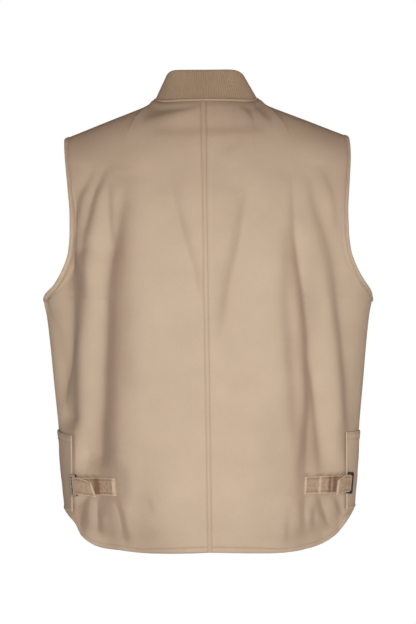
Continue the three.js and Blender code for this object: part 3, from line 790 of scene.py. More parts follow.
def sweep(sections: Array, ring: bool = False) -> Surface:
    """Closed solid swept through sections that have the same number of corners.

    Args:
        sections: Corners of every section.
        ring: Whether the last section joins the first.

    Returns:
        The closed surface.
    """
    count, corners = sections.shape[:2]
    looped = np.concatenate([sections, sections[:1]]) if ring else sections
    along = run_length(looped.mean(axis=1))
    around = run_length(np.concatenate([sections[0], sections[0][:1]]))
    faces: list[tuple[int, ...]] = []
    flat: list[list[Pair]] = []
    for k in range(count if ring else count - 1):
        here, following = k * corners, ((k + 1) % count) * corners
        for i in range(corners):
            j = (i + 1) % corners
            faces.append((here + i, here + j, following + j, following + i))
            left, right = around[i], around[i + 1]
            low, high = along[k], along[k + 1]
            flat.append([(left, low), (right, low), (right, high), (left, high)])
    if not ring:
        last = (count - 1) * corners
        faces += [tuple(range(corners - 1, -1, -1)), tuple(range(last, last + corners))]
        flat += [[(0.0, 0.0)] * corners] * 2
    out = sections - sections.mean(axis=1, keepdims=True)
    turn = np.cross(out, np.roll(out, -1, axis=1)).sum(axis=1)
    if (turn * np.gradient(sections.mean(axis=1), axis=0)).sum() < 0:
        faces, flat = ([item[::-1] for item in items] for items in (faces, flat))
    return Surface(sections.reshape(-1, 3), faces, np.concatenate(flat))


def joined(copies: Array, solids: Sequence[list[tuple[int, ...]]], sharp_angle: float = 60) -> Surface:
    """One surface of many copies of a small solid.

    Args:
        copies: Vertices of every copy.
        solids: Faces of every copy.
        sharp_angle: Angle in degrees past which an edge stays sharp.

    Returns:
        The copies together.
    """
    size = copies.shape[1]
    faces = [tuple(k * size + i for i in face) for k, solid in enumerate(solids) for face in solid]
    corners = np.zeros((sum(len(face) for face in faces), 2))
    return Surface(copies.reshape(-1, 3), faces, corners, sharp_angle)


@dataclass(frozen=True)
class StitchThread:
    """Rows of short lockstitches that stand a little proud of the cloth.

    The profile gives each ring of a stitch as its place in lengths, and its size and lift in radii.
    """

    length: float = 2.5
    pitch: float = 3.3
    radius: float = 0.33
    sides: int = 6
    profile: tuple[Triple, ...] = (
        (-0.5, 0.3, -0.5), (-0.3, 1.0, 0.35), (0.3, 1.0, 0.35), (0.5, 0.3, -0.5),
    )
    look_ahead: float = 0.5

    def stitch(self) -> Surface:
        """One stitch: X along it, Y across it and Z out of the cloth.

        Returns:
            The closed surface.
        """
        angle = 2 * math.pi * np.arange(self.sides) / self.sides
        station, size, lift = (np.array(column)[:, None] for column in zip(*self.profile))
        around, above = size * self.radius, lift * self.radius
        return sweep(stack(station * self.length, around * np.cos(angle), around * np.sin(angle) + above))

    def rows(self, lines: Sequence[Line]) -> Surface:
        """Stitches along lines, as one joined surface.

        Args:
            lines: Lines to sew along.

        Returns:
            All the stitches.
        """
        one = self.stitch()
        placed = []
        for line in lines:
            count = int((line.length - self.length) / self.pitch)
            centre = self.length / 2 + self.pitch * np.arange(max(count, 1))
            spot, forward, up = line.places(centre, self.look_ahead)
            across = unit(np.cross(up, forward))
            here = spot[:, None, :]
            for k, axis in enumerate((forward, across, up)):
                here = here + one.vertices[None, :, k, None] * axis[:, None, :]
            placed.append(here)
        copies = np.concatenate(placed)
        return joined(copies, [one.faces] * len(copies))


class NodeTools:
    """Short ways to place and join the nodes of one tree."""

    def __init__(self, tree: NodeTree) -> None:
        """Takes the tree."""
        self.tree = tree

    def add(self, kind: str, settings: dict | None = None, **inputs: object) -> Node:
        """Places a node.

        Args:
            kind: Node type.
            settings: Values of the node's own properties.
            **inputs: Values or output sockets for its inputs, as feed takes them.

        Returns:
            The node.
        """
        node = self.tree.nodes.new(kind)
        for key, value in (settings or {}).items():
            setattr(node, key, value)
        self.feed(node, **inputs)
        return node

    def feed(self, node: Node, **inputs: object) -> None:
        """Gives a node its inputs.

        Args:
            node: The node.
            **inputs: Values or output sockets, by the input's name or as in_0, in_1 by its position.
        """
        for key, value in inputs.items():
            socket = node.inputs[int(key[3:]) if key.startswith("in_") else key.replace("_", " ")]
            if isinstance(value, NodeSocket):
                self.tree.links.new(value, socket)
            else:
                socket.default_value = value

    def math(self, operation: str, *values: object) -> NodeSocket:
        """Output of a math node."""
        inputs = {f"in_{k}": value for k, value in enumerate(values)}
        return self.add("ShaderNodeMath", {"operation": operation}, **inputs).outputs[0]

    def mixed(self, first: object, second: object, shares: Pair) -> NodeSocket:
        """Sum of two values, each times its share."""
        parts = (self.math("MULTIPLY", value, share) for value, share in zip((first, second), shares))
        return self.math("ADD", *parts)

    def spread(self, value: object, low: float, high: float) -> NodeSocket:
        """Output that runs from low to high as the value runs from 0 to 1."""
        return self.add("ShaderNodeMapRange", in_0=value, in_3=low, in_4=high).outputs[0]

    def ramp(self, value: object, places: Pair, colours: Sequence[tuple]) -> NodeSocket:
        """Places a ramp between two colours.

        Args:
            value: Share of the way along the ramp.
            places: Places of the two colours.
            colours: The colours.

        Returns:
            The output with the colour.
        """
        node = self.add("ShaderNodeValToRGB", Fac=value)
        for element, place, colour in zip(node.color_ramp.elements, places, colours):
            element.position, element.color = place, colour
        return node.outputs[0]


def new_material(name: str) -> tuple[Material, NodeTools, Node]:
    """Makes a material with nodes.

    Args:
        name: Name of the material.

    Returns:
        The material, the tools for its nodes and its shader.
    """
    made = bpy.data.materials.new(name)
    made.use_nodes = True
    return made, NodeTools(made.node_tree), made.node_tree.nodes["Principled BSDF"]


def node_group(name: str, inputs: dict[str, tuple[str, object]], outputs: Sequence[str]) -> tuple:
    """New shader node group with named sockets.

    Args:
        name: Name of the group.
        inputs: Socket type and default value of each input, by name.
        outputs: Names of the float outputs.

    Returns:
        The group, its tools, its input node and its output node.
    """
    group = bpy.data.node_groups.new(name, "ShaderNodeTree")
    for label, (kind, value) in inputs.items():
        socket = group.interface.new_socket(name=label, in_out="INPUT", socket_type=kind)
        if value is not None:
            socket.default_value = value
    for label in outputs:
        group.interface.new_socket(name=label, in_out="OUTPUT", socket_type="NodeSocketFloat")
    tools = NodeTools(group)
    return group, tools, tools.add("NodeGroupInput"), tools.add("NodeGroupOutput")


def twill_group() -> NodeTree:
    """Twill weave on a cloth's flat position: slanted cords crossed by finer threads.

    Returns:
        The group.
    """
    cord_slant, cross_count, cross_height, height_share = 0.65, 1.7, 0.35, 0.37
    inputs = {"Flat": ("NodeSocketVector", None), "Pitch": ("NodeSocketFloat", 0.001)}
    group, tools, given, result = node_group("twill_weave", inputs, ("Height", "Tone"))
    across, up = tools.add("ShaderNodeSeparateXYZ", in_0=given.outputs["Flat"]).outputs[:2]
    turn = tools.math("DIVIDE", 2 * math.pi, given.outputs["Pitch"])
    slant = tools.math("ADD", across, tools.math("MULTIPLY", up, cord_slant))
    cord = tools.math("SINE", tools.math("MULTIPLY", slant, turn))
    cross = tools.math("SINE", tools.math("MULTIPLY", up, tools.math("MULTIPLY", turn, cross_count)))
    height = tools.math("ADD", cord, tools.math("MULTIPLY", cross, cross_height))
    scaled = tools.math("MULTIPLY_ADD", height, height_share, 0.5)
    tools.feed(result, Height=scaled, Tone=scaled)
    return group


def mottle_group() -> NodeTree:
    """Uneven dye and fuzz: broad soft blotches and fine flecks.

    Returns:
        The group.
    """
    inputs = {"Place": ("NodeSocketVector", None), "Blotch": ("NodeSocketFloat", 22.0),
              "Fleck": ("NodeSocketFloat", 700.0)}
    group, tools, given, result = node_group("cloth_mottle", inputs, ("Tone", "Fuzz"))
    broad, fine = (
        tools.add("ShaderNodeTexNoise", Vector=given.outputs["Place"], Scale=given.outputs[label],
                  Detail=detail).outputs[0]
        for label, detail in (("Blotch", 3.0), ("Fleck", 2.0))
    )
    tools.feed(result, Tone=tools.mixed(broad, fine, (0.5, 0.5)), Fuzz=fine)
    return group


def linear(colour: Triple) -> tuple[float, float, float, float]:
    """Linear colour of a display colour given as 0 to 255."""
    share = np.array(colour, float) / 255
    return (*np.where(share <= 0.04045, share / 12.92, ((share + 0.055) / 1.055) ** 2.4).tolist(), 1.0)


@dataclass(frozen=True)
class ClothFinish:
    """Woven or knitted finish: weave, uneven dye, soft fuzz, and painted shade read from a point attribute.
    """

    name: str
    slot: str
    dark: Triple
    light: Triple
    tone_range: Pair = (0.25, 0.75)
    pitch: float = 1.1
    weave_depth: float = 0.12
    weave_tone: float = 0.35
    fuzz_relief: float = 0.5
    bump_strength: float = 0.5
    roughness: Pair = (0.82, 0.95)
    sheen: float = 0.12
    sheen_roughness: float = 0.5
    specular: float = 0.2
    # Painted shade: how far the colour darkens where the shade attribute is 1, and the tint of that shade.
    crease_tone: float = 0.34
    crease_warmth: Triple = (0.88, 1.0, 1.02)

    def material(self, twill: NodeTree, mottle: NodeTree) -> Material:
        """Builds the material.

        Args:
            twill: Weave group.
            mottle: Dye and fuzz group.

        Returns:
            The material.
        """
        made, tools, shader = new_material(self.name)
        flat = tools.add("ShaderNodeUVMap", {"uv_map": "cloth"}).outputs[0]
        place = tools.add("ShaderNodeTexCoord").outputs["Object"]
        # Painted shade: the point attribute darkens and warms the clean colour through the ramp below.
        crease = tools.add("ShaderNodeAttribute", {"attribute_name": "crease"}).outputs["Fac"]
        weave = tools.add("ShaderNodeGroup", {"node_tree": twill}, Flat=flat, Pitch=self.pitch * MM).outputs
        dye = tools.add("ShaderNodeGroup", {"node_tree": mottle}, Place=place).outputs
        tone = tools.mixed(weave["Tone"], dye["Tone"], (self.weave_tone, 1 - self.weave_tone))
        clean = tools.ramp(tone, self.tone_range, (linear(self.dark), linear(self.light)))
        deepest = (*(1 - self.crease_tone * share for share in self.crease_warmth), 1)
        painted_shade_tint = tools.ramp(crease, (0, 1), ((1, 1, 1, 1), deepest))
        colour = tools.add("ShaderNodeVectorMath", {"operation": "MULTIPLY"}, in_0=clean, in_1=painted_shade_tint)
        relief = tools.math("ADD", weave["Height"], tools.math("MULTIPLY", dye["Fuzz"], self.fuzz_relief))
        depth = self.weave_depth * MM
        bumped = tools.add("ShaderNodeBump", Strength=self.bump_strength, Distance=depth, Height=relief)
        tools.feed(shader, Base_Color=colour.outputs[0], Normal=bumped.outputs[0],
                   Roughness=tools.spread(dye["Fuzz"], *self.roughness), Sheen_Weight=self.sheen,
                   Sheen_Roughness=self.sheen_roughness, Specular_IOR_Level=self.specular)
        return made


@dataclass(frozen=True)
class MetalFinish:
    """Dark plated metal with handling marks."""

    name: str
    slot: str
    dark: Triple
    light: Triple
    tone_range: Pair = (0.3, 0.7)
    roughness: Pair = (0.1, 0.24)
    blotch: float = 260.0
    fleck: float = 2400.0

    def material(self, twill: NodeTree, mottle: NodeTree) -> Material:
        """Builds the material.

        Args:
            twill: Weave group, which metal has no use for.
            mottle: Group that gives the uneven plating.

        Returns:
            The material.
        """
        made, tools, shader = new_material(self.name)
        place = tools.add("ShaderNodeTexCoord").outputs["Object"]
        marks = tools.add("ShaderNodeGroup", {"node_tree": mottle}, Place=place, Blotch=self.blotch,
                          Fleck=self.fleck).outputs
        colour = tools.ramp(marks["Tone"], self.tone_range, (linear(self.dark), linear(self.light)))
        tools.feed(shader, Base_Color=colour, Roughness=tools.spread(marks["Fuzz"], *self.roughness),
                   Metallic=1.0)
        return made


TWILL = ClothFinish("tan_twill", "twill", (187, 166, 143), (210, 190, 167))
TRIM = ClothFinish("tan_twill_trim", "twill", (181, 159, 136), (203, 183, 160), crease_tone=0.45)
BINDING = ClothFinish("binding_twill", "twill", (189, 168, 144), (212, 192, 168), crease_tone=0.45)
# The pocket's and the strap's base colours are paler than the twill's, and their painted shade darkens them.
POCKET = ClothFinish("pocket_twill", "twill", (196, 175, 151), (219, 199, 176), crease_tone=0.45)
THREAD = ClothFinish("sewing_thread", "twill", (178, 152, 125), (204, 178, 150), pitch=0.6, weave_depth=0.05)
KNIT = ClothFinish("rib_knit", "knit", (149, 126, 102), (180, 157, 132), pitch=1.5, weave_depth=0.3,
                   weave_tone=0.5, roughness=(0.9, 1.0), sheen=0.2)
STRAP = ClothFinish("strap_twill", "twill", (203, 181, 156), (226, 205, 181), crease_tone=0.78,
                    crease_warmth=(0.88, 1.0, 1.06))
TAPE = ClothFinish("zip_tape", "zip_tape", (162, 136, 110), (186, 160, 133), pitch=0.8)
METAL = MetalFinish("dark_nickel", "slide_metal", (56, 54, 54), (112, 110, 110))


class Dresser:
    """Sews stitches, and gives finished pieces their material and body, hiding the parts they stand for."""

    def __init__(self) -> None:
        """Builds the shared groups."""
        self.groups = (twill_group(), mottle_group())
        self.materials: dict[str, Material] = {}
        self.thread = StitchThread()

    def dress(self, piece: Object, finish: ClothFinish | MetalFinish, node: str = "") -> Object:
        """Finishes one piece.

        Args:
            piece: The piece.
            finish: Its finish.
            node: Node that it stands for, if any.

        Returns:
            The same piece.
        """
        if finish.name not in self.materials:
            self.materials[finish.name] = finish.material(*self.groups)
        piece.data.materials.clear()
        piece.data.materials.append(self.materials[finish.name])
        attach(piece, "root")
        if node:
            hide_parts(node)
        log.info("%s: %d faces, %s", piece.name, len(piece.data.polygons), finish.name)
        return piece

    def sew(self, node: str, lines: Sequence[Line]) -> Object:
        """Makes the stitches of one node, as one piece."""
        return self.dress(self.thread.rows(lines).to_object(f"{node}_stitches"), THREAD)


@dataclass
class Assembly:
    """Sub-assembly whose pieces one dresser finishes."""

    dresser: Dresser


@dataclass
class PanelHalf(Assembly):
    """One half of the back or the front: a wall of twill with folds, a turned hem and seam allowances."""

    cut: PanelCut
    side: Side
    folds: Folds
    columns: int
    flat: Pair
    area: float
    fine_columns: int = 12
    fine_share: float = 0.04
    hem_rows: int = 15
    side_rows: int = 112
    armhole_rows: int = 78
    shoulder_rows: int = 48
    hem_width: float = 10.0
    hem_raise: float = 0.7
    hem_pucker: float = 0.2
    hem_stitch: float = 8.4
    hem_stitch_tone: float = 0.75
    hem_crease_share: float = 0.75
    hem_crease_fade: Pair = (6, 34)
    hem_edge_width: float = 1.7
    hem_edge_shades: Pair = (1.0, 0.6)
    seam_width: float = 7.0
    seam_raise: float = 0.4
    seam_stitch: float = 5.4
    seam_step: float = 0.02
    shoulder_start: Pair = (2.0, 2.05)
    side_seam_end: Pair = (0.96, 1.0)
    side_seam_rows: Pair = (0.02, 0.99)
    zip_start: float = 0.03
    zip_stitches: Pair = (3.0, 9.0)
    turn_soft: float = 0.8
    stitch_sink: float = 0.3
    edge_share: float = 0.45
    edge_round: Pair = (-0.2, 1.2)
    seed: int = 11
    wave: float = 0.35
    wave_length: float = 60
    wave_begin: Pair = (0.0, 0.15)
    wave_end: Pair = (0.9, 1.0)
    wave_top: Pair = (2.6, 3.0)
    neck_clear: Pair = (2.8, 2.95)
    pucker_length: float = 9
    pucker_seed: int = 40
    strap_share: float = 0.25
    pocket_share: float = 0.1
    held_edge: float = 10.0
    held_side: float = 44.0
    held_height: float = 50.0
    tail_tuck: float = 36.0
    tail_top: float = -585
    tail_height: float = 80
    tail_turn: Pair = (-612, -590)
    tail_limit: float = 1.1
    tail_power: float = 1.5
    tail_begin: Pair = (20, 115)
    tail_end: Pair = (188, 206)
    seam_lean: float = -4.5
    lean_reach: float = 60
    lean_height: float = 665
    # Depth of the painted shadow under the collar, on the left and on the right.
    collar_shadows: Pair = (0.4, 0.25)

    @property
    def is_back(self) -> bool:
        """Whether the panel is a half of the back."""
        return self.cut.facing is Facing.BACK

    @property
    def name(self) -> str:
        """Name of the node that the panel stands for."""
        return f"{self.cut.facing.name.lower()}_{self.side.label}"

    @property
    def own_seed(self) -> int:
        """Seed of the panel's own waviness."""
        return self.seed + 2 * self.cut.facing.value + self.side.value

    def shares(self) -> Array:
        """Values of s, close together beside the centre line and even beyond it."""
        return shares(self.columns, self.fine_columns, self.fine_share)

    def rows(self) -> Array:
        """Values of t, close together in the hem and even above it.

        Returns:
            The values.
        """
        hem = SIDE_HEM_Z + np.arange(self.hem_rows)
        side = np.linspace(hem[-1] + 1, ARMPIT_Z, self.side_rows + 1)
        armhole = np.linspace(ARMPIT_Z, YOKE_Z, self.armhole_rows + 1)[1:]
        shoulder = 2 + np.linspace(0, 1, self.shoulder_rows + 1)[1:]
        below = self.cut.row_at(np.concatenate([hem, side, armhole]))
        return np.concatenate([below, shoulder])

    def __post_init__(self) -> None:
        """Works out the middle surface with its folds, then the outer and inner faces."""
        self.s, self.t = np.meshgrid(self.shares(), self.rows())
        smooth = self.cut.surface(self.s, self.t)
        smooth[..., 0] *= self.side.value
        if self.is_back:
            near = fading(np.abs(smooth[..., 0]), 0, self.lean_reach)
            smooth[..., 0] += self.seam_lean * near * np.clip(1 + smooth[..., 2] / self.lean_height, 0, 1)
        away = smooth * LEVEL
        base, direction = smooth, grid_normals(smooth, away)
        if self.is_back:
            ahead = (smooth - np.array(VIEW_POINT)) / -VIEW_POINT[1]
            base = smooth + ahead * self.tucked(np.abs(smooth[..., 0]), smooth[..., 2])[..., None]
            direction = lerp(direction, -ahead, fading(smooth[..., 2], *self.tail_turn)[..., None])
        height = self.fold(smooth, base)
        self.middle = base + direction * height[..., None]
        self.normals = grid_normals(self.middle, away)
        self.measure()
        self.thicken()

    def fold(self, smooth: Array, base: Array) -> Array:
        """Lays the folds, and paints shade into their creases and, on the back, where shade falls.

        Args:
            smooth: Cloth before its tail curls in.
            base: Cloth that the folds rise from.

        Returns:
            The heights of the folds.
        """
        x, z = smooth[..., 0], smooth[..., 2]
        # Painted shade: the folds' steepness darkens the cloth in their creases.
        height, self.crease = folded(self.folds, z, x if self.is_back else np.abs(x))
        ease = window(self.s, self.wave_begin, self.wave_end) * fading(self.t, *self.wave_top)
        height = height + self.wave * ease * ripple(x, z, self.wave_length, self.own_seed)
        if self.is_back:
            # Painted shade in the neck creases too.
            at_neck, turned = folded(NECK_CREASES, x, z)
            clear = fading(self.t, *self.neck_clear)
            height, self.crease = height + clear * at_neck, self.crease + clear * turned
        height = self.held(height, np.abs(x), z)
        reach = run_length(base, axis=1)
        hold = lerp(self.held_side, self.held_edge, smoothstep(z, ARMPIT_Z - self.held_height, ARMPIT_Z))
        if self.is_back:
            climbed = run_length(base, axis=0)
            self.crease = self.crease + self.shaded(np.abs(x), z, reach, climbed[-1:] - climbed)
        return height * smoothstep(reach[:, -1:] - reach, 0, hold)

    def measure(self) -> None:
        """Measures how far each point is from the panel's edges, and lays the cloth flat."""
        up, out = (run_length(self.middle, axis=axis) for axis in (0, 1))
        edge = unit(np.gradient(self.middle[0], axis=0))
        rise = unit(self.middle[1] - self.middle[0])
        square = np.sqrt(np.maximum(1 - (edge * rise).sum(-1) ** 2, 0.05))
        self.hem_distance = up * square[None, :]
        self.side_distance = out[:, -1:] - out
        self.top_distance = up[-1:, :] - up
        self.positions = np.stack([out, np.broadcast_to(up[:, :1], up.shape)], -1)

    def thicken(self) -> None:
        """Makes the outer and inner faces, with the turned hem, the seam allowances and the stitched dips."""
        hem = ending(self.hem_distance, self.hem_width, self.turn_soft)
        out = self.positions[..., 0]
        puckered = ripple(out, 0, self.pucker_length, self.own_seed + self.pucker_seed)
        puckered = puckered * smoothstep(self.s, 0, self.fine_share)
        stitched = stitch_dip(self.hem_distance, self.hem_stitch)
        raised = hem * (self.hem_raise + self.hem_pucker * puckered) - self.stitch_sink * stitched
        # Painted shade: less fold shade near the hem, more in its stitch line and along its lower edge, more
        # on the left.
        calm = lerp(self.hem_crease_share, 1.0, smoothstep(self.hem_distance, *self.hem_crease_fade))
        edge = self.side.pick(self.hem_edge_shades) * bump(self.hem_distance, 0, self.hem_edge_width)
        self.crease = self.crease * calm + self.hem_stitch_tone * stitched + edge
        if self.is_back:
            neck = self.cut.neck_share
            past_neck = smoothstep(self.s, neck, neck + self.seam_step)
            past_neck = past_neck * smoothstep(self.t, *self.shoulder_start)
            below_armpit = fading(self.t, *self.side_seam_end)
            for weight, distance in ((below_armpit, self.side_distance), (past_neck, self.top_distance)):
                allowance = self.seam_raise * ending(distance, self.seam_width, self.turn_soft)
                sunk = self.stitch_sink * stitch_dip(distance, self.seam_stitch)
                raised = raised + weight * (allowance - sunk)
        rounded = lerp(self.edge_share, 1.0, smoothstep(self.hem_distance, *self.edge_round))
        self.outer = self.middle + self.normals * ((CLOTH / 2 + raised) * rounded)[..., None]
        inward = (CLOTH / 2 + hem * self.hem_raise) * rounded
        self.inner = self.middle - self.normals * inward[..., None]

    def tucked(self, x: Array, z: Array) -> Array:
        """How far the tail curls in below the straps, towards the sides and the hem."""
        share = np.clip((self.tail_top - z) / self.tail_height, 0, self.tail_limit) ** self.tail_power
        return self.tail_tuck * share * window(x, self.tail_begin, self.tail_end)

    def held(self, height: Array, x: Array, z: Array | float) -> Array:
        """Heights of the folds, held nearly flat where a strap or a pocket lies on the cloth."""
        strap, pocket = STRAP_ZONE.share(x, z), POCKET_ZONE.share(x, z)
        return height * lerp(1.0, self.strap_share, strap) * lerp(1.0, self.pocket_share, pocket)

    def shaded(self, x: Array, z: Array, from_seam: Array, from_top: Array) -> Array:
        """Painted shade beside the seam, straps, pocket and collar, towards the ends and in soft patches.

        Args:
            x: Distance of each point from the centre plane.
            z: Level of each point.
            from_seam: Distance of each point from the centre line.
            from_top: Distance of each point from the upper edge.

        Returns:
            The added painted shade.
        """
        beside_seam = lerp(0.2, 0.5, smoothstep(z, -150, -40)) * SEAM_SHADE.at(from_seam)
        strap_edges = window(x, (132, 138), (196, 202)) * sum(tone.at(z) for tone in STRAP_EDGE_SHADOWS)
        pocket_edge = window(z, (-611, -606), (-500, -495)) * POCKET_EDGE_SHADOW.at(x)
        under_collar = self.side.pick(self.collar_shadows) * COLLAR_SHADOW.at(from_top) * smoothstep(z, -45, -20)
        total = beside_seam + strap_edges + pocket_edge + under_collar + self.painted_end_shade(x, z)
        return total + sum(shade.at(self.side.value * x, z) for shade in BACK_SHADES)

    @staticmethod
    def painted_end_shade(x: Array | float, z: Array) -> Array:
        """Painted shade between the shoulders and towards the hem."""
        yoke = 0.45 * smoothstep(z, -125, -60) * (1 - 0.9 * smoothstep(x, 60, 125))
        return yoke + 0.1 * smoothstep(z, -260, -130) + 0.18 * fading(z, -640, -570)

    def line_at(self, distance: Array, place: float, keep: Array, axis: int) -> Line:
        """Line on the outer face at a distance from one of the panel's edges.

        Args:
            distance: Distance of every grid point from the edge.
            place: Distance to follow.
            keep: Which columns or rows to use.
            axis: Axis of the grid along which the distance changes.

        Returns:
            The line.
        """
        fields = [np.moveaxis(grid, axis, 1) for grid in (distance, self.outer, self.normals)]
        points, normals = [], []
        for far, outer, normal in zip(*(grid[keep] for grid in fields)):
            order = np.argsort(far)
            for made, rows in ((points, outer), (normals, normal)):
                made.append([np.interp(place, far[order], rows[order, k]) for k in range(3)])
        return Line(np.array(points), np.array(normals))

    def stitch_lines(self) -> list[Line]:
        """Rows of stitches of the hem, and of the back's side and shoulder seams or the front's edge.

        Returns:
            The rows.
        """
        rows, columns = self.t[:, 0], self.s[0]
        lines = [self.line_at(self.hem_distance, self.hem_stitch, columns >= 0.0, 0)]
        if not self.is_back:
            out = self.positions[..., 0]
            beside_zip = rows > self.zip_start
            return lines + [self.line_at(out, place, beside_zip, 1) for place in self.zip_stitches]
        start, end = self.side_seam_rows
        above_hem = (rows > start) & (rows < end)
        past_neck = columns > self.cut.neck_share + self.seam_step
        lines.append(self.line_at(self.side_distance, self.seam_stitch, above_hem, 1))
        lines.append(self.line_at(self.top_distance, self.seam_stitch, past_neck, 0))
        return lines

    def armhole_edge(self) -> Line:
        """Middle line of the armhole edge, from the armpit to the shoulder."""
        upper = self.t[:, 0] >= 1
        return Line(self.middle[upper, -1], self.normals[upper, -1])

    def build(self) -> None:
        """Makes the cloth and its stitches."""
        wall = shell(self.outer, self.inner, self.positions, self.crease)
        cloth = self.dresser.dress(wall.to_object(f"{self.name}_cloth"), TWILL, self.name)
        stitches = self.dresser.sew(self.name, self.stitch_lines())


@dataclass
class ArmholeBinding(Assembly):
    """Folded tape that encloses the edge of an armhole, with waves of a given size, length and seed."""

    back: PanelHalf
    front: PanelHalf
    width: float = 6.4
    clearance: float = 0.15
    thickness: float = 0.95
    crown: float = 0.25
    lip: float = 1.5
    stitch: float = 5.2
    stitch_lift: float = 0.1
    edge_tone: float = 0.6
    edge_soft: Pair = (-2.4, -0.2)
    waves: tuple[tuple[float, float, int], ...] = ((0.12, 8, 5), (0.1, 23, 6))

    def edge(self) -> Line:
        """Closed run of the armhole edge: up the back, over the shoulder and down the front.

        Returns:
            The line.
        """
        back, front = self.back.armhole_edge(), self.front.armhole_edge()
        points = np.concatenate([back.points, front.points[::-1][1:-1]])
        normals = np.concatenate([back.normals, front.normals[::-1][1:-1]])
        return Line(points, normals)

    def inward(self, line: Line) -> Array:
        """Direction into the panel at every point of the edge.

        Args:
            line: The edge.

        Returns:
            The unit directions.
        """
        run = np.roll(line.points, -1, axis=0) - np.roll(line.points, 1, axis=0)
        inward = unit(np.cross(run, line.normals))
        middle = self.back.middle[:, self.back.columns // 2].mean(axis=0)
        first = slice(len(line.points) // 3)
        return inward * np.sign(((middle - line.points[first]) * inward[first]).sum())

    def build(self) -> None:
        """Makes the tape and its rows of stitches."""
        line = self.edge()
        inward = self.inward(line)
        low = CLOTH / 2 + self.clearance
        high = low + self.thickness
        half = [(self.width, low), (self.width, high - 0.35), (self.width - 0.5, high),
                (3.4, high + self.crown), (0.6, high), (-0.7, high - 0.55), (-self.lip, 0.8)]
        outside = half + [(a, -n) for a, n in reversed(half)]
        outline = np.array(outside + [(-0.4, -low), (-0.4, low)])
        walked = run_length(line.points)
        waviness = sum(size * ripple(walked, 0, length, seed) for size, length, seed in self.waves)
        swell = 1 + waviness[:, None] * (np.abs(outline[:, 1]) > low + 0.1)
        sections = (
            line.points[:, None, :]
            + outline[None, :, 0, None] * inward[:, None, :]
            + (outline[None, :, 1] * swell)[..., None] * line.normals[:, None, :]
        )
        node = f"armhole_binding_{self.back.side.label}"
        tape = sweep(sections, ring=True)
        # Painted shade along the tape's inner edge, where it meets the panel.
        at_edge = smoothstep(outline[:, 0], *(self.width + soft for soft in self.edge_soft))
        tape.crease = np.tile(self.edge_tone * at_edge, len(line.points))
        self.dresser.dress(tape.to_object(f"{node}_tape"), BINDING, node)
        rise = high + self.stitch_lift
        self.dresser.sew(node, [
            Line(line.points + self.stitch * inward + sign * rise * line.normals, sign * line.normals)
            for sign in (1, -1)
        ])


@dataclass
class CentreSeam(Assembly):
    """Felled seam down the centre back, with two rows of stitches."""

    left: PanelHalf
    right: PanelHalf
    width: float = 7.2
    thickness: float = 0.8
    clearance: float = 0.1
    stitch_inset: float = 1.3
    stitch_sink: float = 0.15
    swell: float = 0.14
    swell_length: float = 10
    swell_seed: int = 21
    tone: float = 0.08
    edge_tone: float = 0.3

    def build(self) -> None:
        """Makes the felled strip and its stitches."""
        normal = unit(self.left.normals[:, 0] + self.right.normals[:, 0])
        middle = (self.left.outer[:, 0] + self.right.outer[:, 0]) / 2
        half = self.width / 2
        low, high = self.clearance, self.clearance + self.thickness
        outline = np.array([
            (-half, low - 0.05), (-half, high - 0.45), (-half + 0.4, high - 0.1), (-half + 1.3, high - 0.3),
            (-0.8, high + 0.1), (0.8, high + 0.1), (half - 1.3, high - 0.3), (half - 0.5, high - 0.15),
            (half, low + 0.1), (half, low - 0.05),
        ])
        swell = self.swell * ripple(run_length(middle), 0, self.swell_length, self.swell_seed)
        bulge = outline[None, :, 1] + swell[:, None] * (np.abs(outline[:, 0]) < 1)
        aside = outline[None, :, 0, None] * SIDEWAYS
        strip = sweep(middle[:, None, :] + aside + bulge[..., None] * normal[:, None, :])
        # Painted shade: along the strip's edges, a little over all of it, and towards the shoulders and the
        # hem.
        edges = self.edge_tone * smoothstep(np.abs(outline[:, 0]), half - 1.8, half - 0.3)
        strip.crease = (edges[None, :] + self.tone + PanelHalf.painted_end_shade(0.0, middle[:, 2:])).ravel()
        self.dresser.dress(strip.to_object("back_seam_fell"), TWILL, "back_seam")
        inset, rise = half - self.stitch_inset, (high - self.stitch_sink) * normal
        rows = [Line(middle + sign * inset * SIDEWAYS + rise, normal) for sign in (-1, 1)]
        self.dresser.sew("back_seam", rows)


